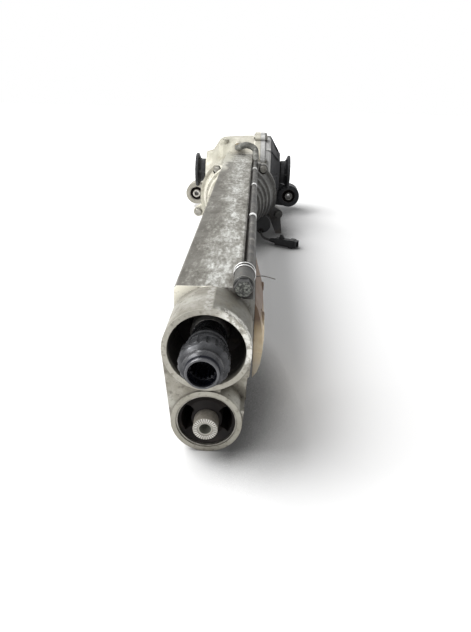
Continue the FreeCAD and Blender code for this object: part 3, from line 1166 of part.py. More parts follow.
def build_all():
    nodes["torque_tube"] = torque_tube()
    nodes["main_case"] = main_case()
    nodes["side_cover"] = side_cover()
    nodes["case_gasket"] = case_gasket()
    nodes["cover_bolts"] = cover_bolts()
    nodes["flange_bolts"] = flange_bolts()
    nodes["nose_bolt"] = nose_bolt()
    nodes["fill_plug"] = plug(FILL_R, 13.0, 5.0, (FILL_X, AXLE_Y + 86.0 + FACE_GAP, FILL_Z))
    nodes["drain_plug"] = plug(DRAIN_R, 11.0, 4.5, (DRAIN_X, SUMP_BACK_Y + FACE_GAP, DRAIN_Z))
    bush("eye", 0.0, EYE_Z, NOSE_FACE_Y, EYE_LENGTH, EYE_BORE_R, EYE_SLEEVE_R, EYE_SLEEVE_PROUD, True)
    for name, x in (("left_ear", EAR_LEFT_X), ("right_ear", EAR_RIGHT_X)):
        bush(name, x, EAR_Z, EAR_FACE_Y, EAR_LENGTH, EAR_BORE_R, EAR_SLEEVE_R, EAR_SLEEVE_PROUD, False)
    nodes["input_seal"] = lip_seal("Y", (0, 0), INPUT_BEARING_Y - 13.0, INPUT_BEARING_Y - 5.0,
                                   NOSE_BORE_R - FIT, INPUT_SEAL_LAND_R)
    inner, outer, balls = ball_bearing()
    nodes["input_bearing_inner"] = inner
    nodes["input_bearing_outer"] = outer
    nodes["input_bearing_balls"] = balls
    nodes["input_coupling"] = input_coupling()
    nodes["input_shaft"] = input_shaft()
    nodes["coupling_sleeve"] = coupling_sleeve()
    nodes["pinion"] = pinion()
    nodes["pinion_nut"] = pinion_nut()
    nodes["pinion_spacer"] = pinion_spacer()
    head_y = pinion_back_y() - HEAD_BEARING[2]
    nodes["pinion_shim"] = ring("Y", (0, 0), head_y - PINION_SHIM + FACE_GAP, head_y - FACE_GAP,
                                HEAD_BEARING[1] - 7.0, HEAD_BEARING[1])
    cup, cone = taper_bearing(HEAD_BEARING, head_y - FACE_GAP, True)
    nodes["head_bearing_cup"] = cup
    nodes["head_bearing_cone"] = cone
    cup, cone = taper_bearing(TAIL_BEARING, tail_cup_y(), False)
    nodes["tail_bearing_cup"] = cup
    nodes["tail_bearing_cone"] = cone
    nodes["left_bearing_cup"], nodes["left_bearing_cone"] = side_bearing(-1)
    nodes["right_bearing_cup"], nodes["right_bearing_cone"] = side_bearing(1)
    nodes["ring_gear"] = ring_gear()
    nodes["ring_gear_bolts"] = ring_gear_bolts()
    nodes["diff_carrier"] = diff_carrier()
    nodes["cross_pin"] = cross_pin()
    nodes["lock_pin"] = lock_pin()
    nodes["thrust_washers"] = thrust_washers()
    nodes["upper_planet_gear"] = planet_gear(1)
    nodes["lower_planet_gear"] = planet_gear(-1)
    for name, side in (("left", -1), ("right", 1)):
        nodes[name + "_side_gear"] = side_gear(side)
        nodes[name + "_output_flange"] = output_flange(side)
        edge = COVER_RIGHT_X if side > 0 else -DRUM_LEFT_X
        start, end = sorted((side * (edge - SEAL_WIDTH), side * edge))
        nodes[name + "_output_seal"] = lip_seal("X", (AXLE_Y, 0.0), start, end, SEAL_R, SEAL_LAND_R)
    nodes["side_shield"] = side_shield()
    nodes["shield_bolts"] = shield_bolts()
    nodes["breather_pipe"] = breather_pipe()
    nodes["breather_clips"] = breather_clips()
    nodes["breather_union"] = breather_union()
    nodes["actuator_body"] = actuator_body()
    tube, radii, length = tube_along(LEAD_ROUTE, LEAD_R)
    section = math.pi * LEAD_R ** 2
    print("pigtail: arc radii", [round(r, 1) for r in radii], "length", round(length, 1),
          "volume share", round(tube.Volume / (section * length), 4))
    nodes["pigtail"] = tube
    nodes["lead_gland"] = lead_gland()
    nodes["connector"] = connector()


build_all()
os.makedirs("parts", exist_ok=True)
for name, shape in nodes.items():
    shape.exportStep("parts/" + name + ".step")
    if not shape.isValid():
        print("not valid:", name)
print(len(nodes), "nodes")
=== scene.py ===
import math

import bmesh
import bpy
from mathutils import Matrix, Vector


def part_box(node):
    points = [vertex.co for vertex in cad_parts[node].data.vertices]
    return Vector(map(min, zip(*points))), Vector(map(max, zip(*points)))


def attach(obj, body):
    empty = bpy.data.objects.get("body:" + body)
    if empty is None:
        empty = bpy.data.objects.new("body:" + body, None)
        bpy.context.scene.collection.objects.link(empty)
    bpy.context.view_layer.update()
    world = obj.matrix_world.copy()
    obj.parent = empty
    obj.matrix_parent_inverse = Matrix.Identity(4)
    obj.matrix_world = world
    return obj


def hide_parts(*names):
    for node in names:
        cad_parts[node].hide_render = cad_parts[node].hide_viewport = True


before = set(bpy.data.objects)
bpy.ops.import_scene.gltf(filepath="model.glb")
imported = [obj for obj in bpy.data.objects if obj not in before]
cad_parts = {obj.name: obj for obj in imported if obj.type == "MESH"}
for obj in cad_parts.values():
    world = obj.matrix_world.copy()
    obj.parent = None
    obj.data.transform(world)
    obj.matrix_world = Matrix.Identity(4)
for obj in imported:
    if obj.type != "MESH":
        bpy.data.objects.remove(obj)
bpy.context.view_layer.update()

# Camera
# A phone camera held above the input end and looking down the unit towards the axle.
# The place and the three turns come from the photograph's own perspective.
camera_place = Vector((0.0344, -0.339, 0.2032))
camera_pitch, camera_yaw, camera_roll = (math.radians(a) for a in (24.32, 1.72, 1.59))
sensor = 36.0
focal_in_pixels = 520.0
photo_height = 632.0

forward = Vector((-math.sin(camera_yaw) * math.cos(camera_pitch),
                  math.cos(camera_yaw) * math.cos(camera_pitch), -math.sin(camera_pitch)))
level_right = Vector((math.cos(camera_yaw), math.sin(camera_yaw), 0.0))
level_up = level_right.cross(forward)
right = math.cos(camera_roll) * level_right + math.sin(camera_roll) * level_up
up = -math.sin(camera_roll) * level_right + math.cos(camera_roll) * level_up
camera_data = bpy.data.cameras.new("camera")
camera_data.sensor_width = sensor
camera_data.lens = focal_in_pixels / photo_height * sensor
camera_data.clip_start = 0.01
camera = bpy.data.objects.new("camera", camera_data)
camera.matrix_world = Matrix.Translation(camera_place) @ Matrix((right, up, -forward)).transposed().to_4x4()
bpy.context.collection.objects.link(camera)
bpy.context.scene.camera = camera

# Pigtail of the actuator
# A short limp two-core lead in a thin black sheath. It leaves the rubber gland in the
# actuator's front face, drops to the ground and ends in the connector lying there.
lead_radius = 0.0025
lead_points = ((0.0500, 0.7388, -0.0835), (0.0500, 0.7240, -0.0835),
               (0.0570, 0.7100, -0.0930), (0.0700, 0.7035, -0.0930))


def round_cord(name, points, radius, roundness, smoothness):
    """Cord with closed ends along a curve that the points pull into shape."""
    curve = bpy.data.curves.new(name, "CURVE")
    curve.dimensions = "3D"
    curve.bevel_depth = radius
    curve.bevel_resolution = roundness
    curve.use_fill_caps = True
    spline = curve.splines.new("NURBS")
    spline.points.add(len(points) - 1)
    for point, place in zip(spline.points, points):
        point.co = (*place, 1.0)
    spline.order_u = 3
    spline.use_endpoint_u = True
    spline.resolution_u = smoothness
    cord = bpy.data.objects.new(name, curve)
    bpy.context.collection.objects.link(cord)
    return cord


lead = round_cord("pigtail_lead", lead_points, lead_radius, 4, 16)


class Finish:
    """A material or a shared group being built up; each helper links the node that it makes."""

    def __init__(self, tree):
        self.nodes, self.links = tree.nodes, tree.links
        self.place = self.nodes.new("ShaderNodeTexCoord").outputs["Object"]
        self.colour = None

    def feed(self, socket, value):
        """Link another socket to this one, or set its value."""
        if isinstance(value, bpy.types.NodeSocket):
            self.links.new(value, socket)
        elif isinstance(value, tuple) and socket.type == "RGBA":
            socket.default_value = (*value, 1.0)
        else:
            socket.default_value = value

    def along(self, axis):
        """One of the object's own coordinates."""
        parts = self.nodes.new("ShaderNodeSeparateXYZ")
        self.links.new(self.place, parts.inputs["Vector"])
        return parts.outputs[axis]

    def scaled(self, scale, turn=0.0):
        """The object's coordinates, drawn out and turned about Z."""
        mapping = self.nodes.new("ShaderNodeMapping")
        mapping.inputs["Scale"].default_value = scale
        mapping.inputs["Rotation"].default_value = (0.0, 0.0, turn)
        self.links.new(self.place, mapping.inputs["Vector"])
        return mapping.outputs["Vector"]

    def from_line(self, x, z):
        """Distance from the line along Y through x and z."""
        mapping = self.nodes.new("ShaderNodeMapping")
        mapping.inputs["Location"].default_value = (-x, 0.0, -z)
        mapping.inputs["Scale"].default_value = (1.0, 0.0, 1.0)
        self.links.new(self.place, mapping.inputs["Vector"])
        length = self.nodes.new("ShaderNodeVectorMath")
        length.operation = "LENGTH"
        self.links.new(mapping.outputs["Vector"], length.inputs[0])
        return length.outputs["Value"]

    def noise(self, scale, detail, roughness=0.5, at=None):
        """Cloudy value between 0 and 1 over the surface."""
        texture = self.nodes.new("ShaderNodeTexNoise")
        texture.inputs["Detail"].default_value = detail
        texture.inputs["Roughness"].default_value = roughness
        self.feed(texture.inputs["Scale"], scale)
        self.links.new(at or self.place, texture.inputs["Vector"])
        return texture.outputs["Fac"]

    def sum_of(self, first, second, operation="ADD"):
        """Two values put together, added unless another operation is named."""
        node = self.nodes.new("ShaderNodeMath")
        node.operation = operation
        self.feed(node.inputs[0], first)
        self.feed(node.inputs[1], second)
        return node.outputs[0]

    def span(self, source, low, high, to_low=0.0, to_high=1.0):
        """Value mapped from one range to another and held at both ends."""
        node = self.nodes.new("ShaderNodeMapRange")
        ends = {"From Min": low, "From Max": high, "To Min": to_low, "To Max": to_high}
        for label, value in ends.items():
            node.inputs[label].default_value = value
        self.links.new(source, node.inputs["Value"])
        return node.outputs["Result"]

    def where(self, *spans):
        """Mask that is 1 where every (axis or value, from, to) ramp has reached its end."""
        mask = None
        for source, start, end in spans:
            step = self.span(self.along(source) if isinstance(source, str) else source, start, end)
            mask = step if mask is None else self.sum_of(mask, step, "MULTIPLY")
        return mask

    def ramp(self, source, *stops):
        """Colour ramp; stops are (position, colour) pairs."""
        node = self.nodes.new("ShaderNodeValToRGB")
        while len(node.color_ramp.elements) < len(stops):
            node.color_ramp.elements.new(0.5)
        for element, (position, colour) in zip(node.color_ramp.elements, stops):
            element.position = position
            element.color = (*colour, 1.0)
        self.links.new(source, node.inputs["Fac"])
        return node.outputs["Color"]

    def mix(self, factor, first, second, kind="MIX"):
        """Two colours mixed by a factor."""
        node = self.nodes.new("ShaderNodeMix")
        node.data_type = "RGBA"
        node.blend_type = kind
        for socket, value in ((node.inputs[0], factor), (node.inputs[6], first), (node.inputs[7], second)):
            self.feed(socket, value)
        return node.outputs[2]

    def over(self, mask, colour, share=1.0):
        """Lay a colour over the present one where the mask is 1."""
        self.colour = self.mix(self.span(mask, 0.0, 1.0, 0.0, share), self.colour, colour)

    def group(self, tree, **values):
        """A shared group placed in this material, with its own values."""
        node = self.nodes.new("ShaderNodeGroup")
        node.node_tree = tree
        for label, value in values.items():
            self.feed(node.inputs[label.replace("_", " ").title()], value)
        return node.outputs

    def bump(self, height, distance, strength, edge_radius=0.0):
        """Bump from a height, over edges that look rounded when a radius is given."""
        node = self.nodes.new("ShaderNodeBump")
        node.inputs["Distance"].default_value = distance
        node.inputs["Strength"].default_value = strength
        self.links.new(height, node.inputs["Height"])
        if edge_radius:
            rounded = self.nodes.new("ShaderNodeBevel")
            rounded.samples = 4
            rounded.inputs["Radius"].default_value = edge_radius
            self.links.new(rounded.outputs["Normal"], node.inputs["Normal"])
        self.links.new(node.outputs["Normal"], self.shader.inputs["Normal"])

    def soiled_and_shaded(self, dirt_and_shade, reach=0.012):
        """Link the colour to the shader with grime and painted shade in its corners, after every other
        coat.
        """
        grime_and_shade = self.group(grime_and_shade_group, reach=reach)
        self.links.new(self.mix(grime_and_shade["Mask"], self.colour, dirt_and_shade), self.shader.inputs["Base Color"])


def new_finish(name, roughness=0.5, metallic=0.0):
    """New material, with its shader at hand."""
    material = bpy.data.materials.new(name)
    material.use_nodes = True
    finish = Finish(material.node_tree)
    finish.material = material
    finish.shader = finish.nodes["Principled BSDF"]
    finish.shader.inputs["Roughness"].default_value = roughness
    finish.shader.inputs["Metallic"].default_value = metallic
    return finish


def new_group(name, inputs, outputs):
    """Shared group with named sockets; inputs are (name, value) pairs, outputs (name, kind) pairs."""
    tree = bpy.data.node_groups.new(name, "ShaderNodeTree")
    for label, value in inputs:
        socket = tree.interface.new_socket(name=label, in_out="INPUT", socket_type="NodeSocketFloat")
        socket.default_value = value
    for label, kind in outputs:
        tree.interface.new_socket(name=label, in_out="OUTPUT", socket_type=kind)
    finish = Finish(tree)
    finish.given = finish.nodes.new("NodeGroupInput").outputs
    finish.result = finish.nodes.new("NodeGroupOutput").inputs
    return tree, finish


# Grime and painted shade lie in corners and run over every old surface of the unit: a value between
# 0 and 1 from how closed in a point is, broken up by cloudy noise.
grime_and_shade_group, grime_and_shade = new_group("grime_and_shade_in_corners", (("Reach", 0.012),), (("Mask", "NodeSocketFloat"),))
closed_in = grime_and_shade.nodes.new("ShaderNodeAmbientOcclusion")
closed_in.samples = 6
grime_and_shade.feed(closed_in.inputs["Distance"], grime_and_shade.given["Reach"])
occluded = grime_and_shade.span(closed_in.outputs["AO"], 1.0, 0.0)
cloudy = grime_and_shade.sum_of(grime_and_shade.noise(60.0, 6.0, 0.65), 0.5)
grime_and_shade.feed(grime_and_shade.result["Mask"], grime_and_shade.span(grime_and_shade.sum_of(occluded, cloudy, "MULTIPLY"), 0.0, 1.0))

lead_sheath = new_finish("lead_sheath", 0.45)
lead_sheath.colour = lead_sheath.ramp(lead_sheath.noise(420.0, 4.0),
                                      (0.3, (0.010, 0.010, 0.011)), (0.75, (0.035, 0.034, 0.032)))
lead_sheath.soiled_and_shaded((0.03, 0.028, 0.025), 0.003)
lead.data.materials.append(lead_sheath.material)
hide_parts("pigtail")
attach(lead, "housing")

# Ground and light
# A pale seamless floor that keeps the unit's soft shadow, and an even pale surround. A large soft
# lamp stands at the upper left, as in the photograph, with two weak ones over the axle and in front.
ground_z = -0.1016
floor_half = 6.0
floor_mesh = bpy.data.meshes.new("floor")
floor_mesh.from_pydata([(-floor_half, -floor_half, ground_z), (floor_half, -floor_half, ground_z),
                        (floor_half, floor_half, ground_z), (-floor_half, floor_half, ground_z)],
                       [], [(0, 1, 2, 3)])
floor = bpy.data.objects.new("floor", floor_mesh)
bpy.context.collection.objects.link(floor)
pale_floor = new_finish("pale_floor", 0.9)
# On the side away from the large lamp a painted contact shadow darkens the floor close to the unit.
lit_floor, painted_contact_shadow = (0.90, 0.90, 0.90), (0.12, 0.12, 0.12)
near_unit = pale_floor.nodes.new("ShaderNodeAmbientOcclusion")
near_unit.samples = 8
near_unit.inputs["Distance"].default_value = 0.07
painted_contact_shade = pale_floor.ramp(near_unit.outputs["AO"], (0.60, painted_contact_shadow), (0.97, lit_floor))
away_from_window = pale_floor.where(("X", -0.022, 0.022))
pale_floor.feed(pale_floor.shader.inputs["Base Color"],
                pale_floor.mix(away_from_window, lit_floor, painted_contact_shade))
pale_floor.shader.inputs["Specular IOR Level"].default_value = 0.1
# Far from the unit the floor fades into the surround where the camera and reflections see it.
glow = pale_floor.nodes.new("ShaderNodeEmission")
rays = pale_floor.nodes.new("ShaderNodeLightPath")
seen = pale_floor.sum_of(rays.outputs["Is Camera Ray"], rays.outputs["Is Glossy Ray"], "MAXIMUM")
far = pale_floor.nodes.new("ShaderNodeVectorMath")
far.operation = "DISTANCE"
far.inputs[1].default_value = (0.0, 0.45, ground_z)
pale_floor.links.new(pale_floor.place, far.inputs[0])
haze = pale_floor.span(far.outputs["Value"], 0.45, 1.5, 0.03, 0.80)
pale_floor.feed(glow.inputs["Strength"], pale_floor.sum_of(seen, haze, "MULTIPLY"))
both = pale_floor.nodes.new("ShaderNodeAddShader")
pale_floor.links.new(pale_floor.shader.outputs[0], both.inputs[0])
pale_floor.links.new(glow.outputs[0], both.inputs[1])
pale_floor.links.new(both.outputs[0], pale_floor.nodes["Material Output"].inputs["Surface"])
floor_mesh.materials.append(pale_floor.material)

world = bpy.data.worlds.new("pale_surround")
bpy.context.scene.world = world
world.use_nodes = True
sky = Finish(world.node_tree)
light_on_unit, seen_level = 0.42, 1.0
surround = sky.nodes["Background"]
surround.inputs["Color"].default_value = (1.0, 1.0, 1.0, 1.0)
rays = sky.nodes.new("ShaderNodeLightPath").outputs
seen = sky.sum_of(rays["Is Camera Ray"], rays["Is Glossy Ray"], "MAXIMUM")
seen = sky.sum_of(seen, rays["Is Transmission Ray"], "MAXIMUM")
sky.feed(surround.inputs["Strength"], sky.span(seen, 0.0, 1.0, light_on_unit, seen_level))


def soft_lamp(name, place, target, size, power):
    """Round area lamp that faces its target."""
    lamp_data = bpy.data.lights.new(name, "AREA")
    lamp_data.shape = "DISK"
    lamp_data.size = size
    lamp_data.energy = power
    lamp = bpy.data.objects.new(name, lamp_data)
    lamp.matrix_world = (Matrix.Translation(place)
                         @ (Vector(target) - Vector(place)).to_track_quat("-Z", "Y").to_matrix().to_4x4())
    bpy.context.collection.objects.link(lamp)


soft_lamp("window_upper_left", (-1.60, 0.25, 1.90), (0.0, 0.40, 0.0), 1.8, 73.0)
soft_lamp("lamp_over_axle", (-0.7, 2.1, 1.3), (0.0, 0.9, 0.0), 0.8, 8.0)
soft_lamp("lamp_at_front", (-0.7, -1.5, 0.12), (0.0, 0.1, -0.03), 0.6, 13.0)

# Cast aluminium of the torque tube
# One long sand casting: box tube with a flat strip, nose ring, bush eye and bell. Years of road
# salt have left it grey-brown and blotched, with white oxide creeping over the strip.
skin_group, skin = new_group(
    "cast_skin", (("Grain Scale", 900.0), ("Blotch Scale", 26.0)),
    (("Height", "NodeSocketFloat"), ("Blotches", "NodeSocketFloat"), ("Specks", "NodeSocketFloat")))
pits = skin.nodes.new("ShaderNodeTexVoronoi")
skin.links.new(skin.place, pits.inputs["Vector"])
skin.feed(pits.inputs["Scale"], skin.given["Grain Scale"])
grain = skin.noise(skin.given["Grain Scale"], 5.0, 0.7)
skin.feed(skin.result["Height"],
          skin.sum_of(skin.sum_of(grain, 0.65, "MULTIPLY"),
                      skin.sum_of(pits.outputs["Distance"], 0.35, "MULTIPLY")))
skin.feed(skin.result["Blotches"], skin.noise(skin.given["Blotch Scale"], 9.0, 0.68))
skin.feed(skin.result["Specks"], skin.noise(240.0, 3.0))

# The stain on the flat top strip: soft streaks along the casting and fine salt bloom over them.
strip_group, strip = new_group("strip_stain", (("Whiteness", 0.0),), (("Color", "NodeSocketColor"),))
streaks = strip.noise(1.0, 11.0, 0.72, strip.scaled((42.0, 11.0, 42.0), math.radians(24.0)))
bloom = strip.noise(1.0, 6.0, 0.70, strip.scaled((230.0, 85.0, 230.0)))
reached = strip.sum_of(strip.sum_of(streaks, strip.given["Whiteness"]),
                       strip.span(bloom, 0.30, 0.70, -0.20, 0.20))
stain = strip.ramp(reached, (0.26, (0.115, 0.108, 0.090)), (0.42, (0.235, 0.228, 0.200)),
                   (0.54, (0.390, 0.388, 0.360)), (0.66, (0.660, 0.670, 0.645)))
patches = strip.ramp(strip.noise(26.0, 9.0, 0.68), (0.38, (0.60, 0.59, 0.57)), (0.62, (1.0, 1.0, 1.0)))
strip.feed(strip.result["Color"], strip.mix(0.75, stain, patches, "MULTIPLY"))


def cast_metal(name, dull, middle, clean, roughness=0.62, metallic=0.25):
    """Old cast aluminium, blotched from dull to clean, with its grain."""
    finish = new_finish(name, roughness, metallic)
    finish.skin = finish.group(skin_group)
    finish.colour = finish.ramp(finish.skin["Blotches"], (0.36, dull), (0.50, middle), (0.63, clean))
    finish.links.new(finish.span(finish.skin["Blotches"], 0.35, 0.65, roughness + 0.10, roughness - 0.10),
                     finish.shader.inputs["Roughness"])
    finish.bump(finish.skin["Height"], 0.0006, 0.5, 0.0012)
    return finish


def dress(finish, *names):
    """Give CAD pieces their finish."""
    for name in names:
        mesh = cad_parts[name].data
        mesh.materials.clear()
        mesh.materials.append(finish.material)


# Where one look passes into the next on the casting.
eye_low, eye_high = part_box("eye_inner_sleeve")
eye_z = (eye_low.z + eye_high.z) / 2
ring_face_y, ring_top_y, box_face_y = 0.0380, 0.0870, 0.0885
bore_r, rim_r, eye_rim_r = 0.0334, 0.0400, 0.0325
strip_right_x, strip_z = 0.0262, 0.030
boss_x, boss_z, boss_r, boss_end_y = 0.028, 0.039, 0.0095, 0.1253
bell_y = 0.640

tube = cast_metal("tube_casting", (0.21, 0.195, 0.155), (0.31, 0.295, 0.250), (0.45, 0.440, 0.390))
nose = tube.where(("Y", box_face_y + 0.0003, box_face_y))
box_tube = tube.where(("Y", box_face_y, box_face_y + 0.0003))

# The nose's top left is darkened and its top right darkened most, both painted shade, with a chalky seam
# between.
nose_top = tube.where(("Y", ring_top_y + 0.0010, ring_top_y))
seam_x = 0.0040
shaded_nose_top_left = tube.where((nose_top, 0.0, 1.0), ("Z", 0.008, 0.030), ("X", seam_x + 0.0010, seam_x))
shaded_nose_top_right = tube.where((nose_top, 0.0, 1.0), ("Y", 0.0390, 0.0420), ("Z", 0.000, 0.016),
                            ("X", seam_x, seam_x + 0.0010))
chalk_seam = tube.where(("X", -0.0035, -0.0015), ("X", 0.0045, 0.0030), ("Z", 0.030, 0.034),
                        (tube.skin["Specks"], 0.58, 0.46), ("Y", box_face_y, 0.0880))
nose_clouds = tube.where((nose, 0.0, 1.0), (tube.noise(75.0, 8.0, 0.75), 0.50, 0.60))
tube.over(shaded_nose_top_left, (0.03, 0.028, 0.022), 0.30)
tube.over(shaded_nose_top_right, (0.03, 0.030, 0.022), 0.66)
tube.over(chalk_seam, (0.50, 0.49, 0.46), 0.6)
tube.over(nose_clouds, (0.17, 0.155, 0.120), 0.5)

# The machined rim face is paler, darkened at the bottom by painted shade, and worn bright on its right.
rim_face = tube.where(("Y", ring_face_y + 0.0004, ring_face_y))
tube.over(rim_face, (0.44, 0.425, 0.370), 0.5)
tube.over(tube.where((rim_face, 0.0, 1.0), ("Z", -0.034, -0.044)), (0.20, 0.185, 0.145), 0.35)
out_of_axis = tube.from_line(0.0, 0.0)
worn = tube.where((out_of_axis, bore_r - 0.0006, bore_r), (out_of_axis, rim_r, rim_r - 0.0015),
                  ("X", 0.006, 0.016), ("Z", -0.020, -0.006), ("Y", 0.048, 0.044),
                  (tube.noise(150.0, 6.0, 0.7), 0.44, 0.52))
tube.over(worn, (0.80, 0.79, 0.74), 0.9)

# Painted shade darkens the pockets between the ring and the eye.
shaded_pockets = tube.where((out_of_axis, rim_r - 0.0015, rim_r),
                         (tube.from_line(0.0, eye_z), eye_rim_r, eye_rim_r + 0.0015),
                         ("Z", -0.012, -0.022), ("Y", 0.0600, 0.0580), ("Y", 0.0388, 0.0392))
tube.over(shaded_pockets, (0.17, 0.150, 0.120), 0.35)

# The box tube carries the strip's stain, whitest to the right of the middle.
left_to_right = tube.sum_of(tube.span(tube.along("X"), -0.036, 0.0, -0.36, 0.035),
                            tube.span(tube.along("X"), 0.004, 0.022, 0.0, -0.115))
front_to_back = tube.sum_of(tube.span(tube.along("Y"), 0.09, 0.30, 0.02, 0.0),
                            tube.span(tube.along("Y"), 0.30, 0.75, 0.0, -0.01))
whiteness = tube.sum_of(left_to_right, front_to_back)
tube.over(box_tube, tube.group(strip_group, whiteness=whiteness)["Color"])

# Its front face is darkened to grey by painted shade, and is clean and cream coloured on the left.
box_face = tube.where(("Y", box_face_y - 0.0005, box_face_y + 0.0001),
                      ("Y", box_face_y + 0.0013, box_face_y + 0.0007))
tube.over(box_face, (0.36, 0.355, 0.325), 0.9)
tube.over(tube.where((box_face, 0.0, 1.0), ("X", 0.001, -0.006)), (0.90, 0.87, 0.75))

# Towards the axle the stain leaves the strip's left edge clean, and the bell's left half is cream.
uneven_edge = tube.sum_of(tube.along("X"), tube.span(tube.skin["Blotches"], 0.3, 0.7, -0.012, 0.012))
tube.over(tube.where((uneven_edge, -0.016, -0.026), ("Y", 0.66, 0.72), ("Z", strip_z, strip_z + 0.006)),
          (0.60, 0.585, 0.51), 0.7)
bell_metal = tube.ramp(tube.skin["Blotches"], (0.36, (0.44, 0.42, 0.35)), (0.50, (0.60, 0.58, 0.49)),
                       (0.63, (0.72, 0.70, 0.61)))
tube.over(tube.where(("X", -0.0335, -0.0350), ("Y", bell_y - 0.040, bell_y)), bell_metal)

# Painted shade darkens the right flank, and makes the bell nearly black low on that side.
shaded_right_flank = tube.where(("Y", box_face_y + 0.0008, box_face_y + 0.0015),
                         ("X", strip_right_x, strip_right_x + 0.0023))
shaded_bell_low_right = tube.where(("X", 0.028, 0.034), ("Z", -0.012, -0.036), ("Y", bell_y, bell_y + 0.040))
tube.over(shaded_right_flank, (0.095, 0.097, 0.098), 0.72)
tube.over(shaded_bell_low_right, (0.022, 0.023, 0.026), 0.8)

# The boss of the large bolt is dark all round, and the bore is darkened near black by oil and painted
# shade.
boss = tube.where((tube.from_line(boss_x, boss_z), boss_r + 0.0010, boss_r + 0.0005),
                  ("Y", box_face_y + 0.0008, box_face_y + 0.0012), ("Y", boss_end_y + 0.0003, boss_end_y),
                  ("Z", boss_z - 0.0014, boss_z - 0.0004))
tube.over(boss, (0.050, 0.050, 0.046), 0.88)
tube.over(tube.where((out_of_axis, bore_r + 0.0002, bore_r), ("Y", ring_face_y, ring_face_y + 0.008)),
          (0.016, 0.014, 0.013), 0.97)
tube.over(tube.where((tube.skin["Specks"], 0.57, 0.70)), (0.10, 0.085, 0.07), 0.6)
tube.soiled_and_shaded((0.055, 0.045, 0.036))
dress(tube, "torque_tube")

# Main case and side cover
# Two die castings, cleaner than the tube: the case is a warm pale grey, the cover with the
# right ear bolted on round its bright rim, and near black outside it and low down, black paint with painted
# shade.
ear_low, ear_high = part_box("left_ear_outer_sleeve")
strip_left_x, strip_end_y = -0.0345, 0.905
case = cast_metal("case_casting", (0.38, 0.36, 0.300), (0.50, 0.48, 0.410), (0.60, 0.58, 0.500))
case.over(case.where((case.skin["Blotches"], 0.60, 0.68)), (0.72, 0.71, 0.65), 0.9)

# The tube's strip and its stain run on over the case, with the clean left edge.
on_strip = (("X", strip_left_x, strip_left_x + 0.0005), ("X", strip_right_x, strip_right_x - 0.0004),
            ("Y", strip_end_y + 0.020, strip_end_y), ("Z", strip_z - 0.010, strip_z))
case.over(case.where(*on_strip), case.group(strip_group, whiteness=-0.02)["Color"], 0.95)
uneven_edge = case.sum_of(case.along("X"), case.span(case.skin["Blotches"], 0.3, 0.7, -0.012, 0.012))
case.over(case.where(*on_strip, (uneven_edge, -0.016, -0.026)), (0.60, 0.585, 0.51), 0.7)

# Painted shade darkens the case on the right of the strip, low behind the cover and on its top left;
# the case is also duller round the left ear.
case.over(case.where(("X", strip_right_x, 0.030), ("Y", strip_end_y, strip_end_y - 0.030)),
          (0.085, 0.083, 0.080), 0.75)
case.over(case.where(("X", 0.050, 0.055), ("Z", -0.045, -0.055)), (0.03, 0.03, 0.032), 0.95)
from_left_ear = case.from_line((ear_low.x + ear_high.x) / 2, (ear_low.z + ear_high.z) / 2)
case.over(case.where((from_left_ear, 0.0310, 0.0285)), (0.23, 0.215, 0.185), 0.5)
case.over(case.where(("X", -0.005, -0.030), ("Z", 0.020, 0.040)), (0.30, 0.290, 0.220), 0.45)
case.over(case.where((case.skin["Specks"], 0.60, 0.72)), (0.13, 0.11, 0.09), 0.4)
case.soiled_and_shaded((0.10, 0.085, 0.07))
dress(case, "main_case")

black_paint_and_shade = (0.014, 0.015, 0.018)
cover = cast_metal("cover_casting", (0.38, 0.38, 0.37), (0.48, 0.48, 0.47), (0.60, 0.60, 0.585))
# Outside the rim and low down the cover is near black, partly black paint and partly painted shade.
cover.over(cover.where(("X", 0.0680, 0.0690)), black_paint_and_shade, 0.96)
cover.over(cover.where(("Z", -0.010, -0.030)), black_paint_and_shade, 0.90)
cover.soiled_and_shaded((0.05, 0.05, 0.05))
dress(cover, "side_cover")

# Bolts and plugs
# Steel screws, zinc plated and dulled, with painted shade on the right side, darkest low on it. The ring
# gear's are black, and so is the large one on the nose corner, whose head is speckled with salt.
# Grime and painted shade in the corners of the metal parts.
metal_dirt_and_shade, metal_dirt_and_shade_reach = (0.05, 0.045, 0.04), 0.005


def machined_metal(name, colour, dull, roughness=0.35, metallic=0.9):
    """Turned or ground metal with a slight haze."""
    finish = new_finish(name, roughness, metallic)
    haze = finish.noise(130.0, 6.0)
    finish.colour = finish.ramp(haze, (0.35, dull), (0.65, colour))
    finish.links.new(finish.span(haze, 0.3, 0.7, roughness + 0.15, roughness - 0.08),
                     finish.shader.inputs["Roughness"])
    finish.bump(haze, 0.0002, 0.3, 0.0005)
    return finish


plated_steel = machined_metal("plated_steel", (0.40, 0.39, 0.35), (0.20, 0.19, 0.17), 0.48, 0.7)
shaded_right = plated_steel.where(("X", 0.020, 0.035))
shaded_low_right = plated_steel.where((shaded_right, 0.0, 1.0), ("Z", -0.010, -0.030))
plated_steel.over(shaded_right, (0.050, 0.050, 0.048), 0.45)
plated_steel.over(shaded_low_right, (0.022, 0.022, 0.022), 0.85)
plated_steel.soiled_and_shaded(metal_dirt_and_shade, metal_dirt_and_shade_reach)
black_steel = machined_metal("black_steel", (0.060, 0.058, 0.056), (0.025, 0.024, 0.024), 0.38, 0.6)
black_steel.soiled_and_shaded(metal_dirt_and_shade, metal_dirt_and_shade_reach)
dress(plated_steel, "cover_bolts", "flange_bolts", "fill_plug", "drain_plug")
dress(black_steel, "ring_gear_bolts", "pinion_nut")
salted = machined_metal("salted_bolt", (0.040, 0.040, 0.038), (0.018, 0.018, 0.017), 0.5, 0.3)
bolt_low, bolt_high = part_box("nose_bolt")
from_bolt = salted.from_line((bolt_low.x + bolt_high.x) / 2, (bolt_low.z + bolt_high.z) / 2)
salted.over(salted.where((from_bolt, 0.0075, 0.0066), (salted.noise(520.0, 5.0, 0.7), 0.47, 0.60)),
            (0.27, 0.28, 0.25), 0.75)
salted.soiled_and_shaded((0.02, 0.02, 0.02), 0.004)
dress(salted, "nose_bolt")
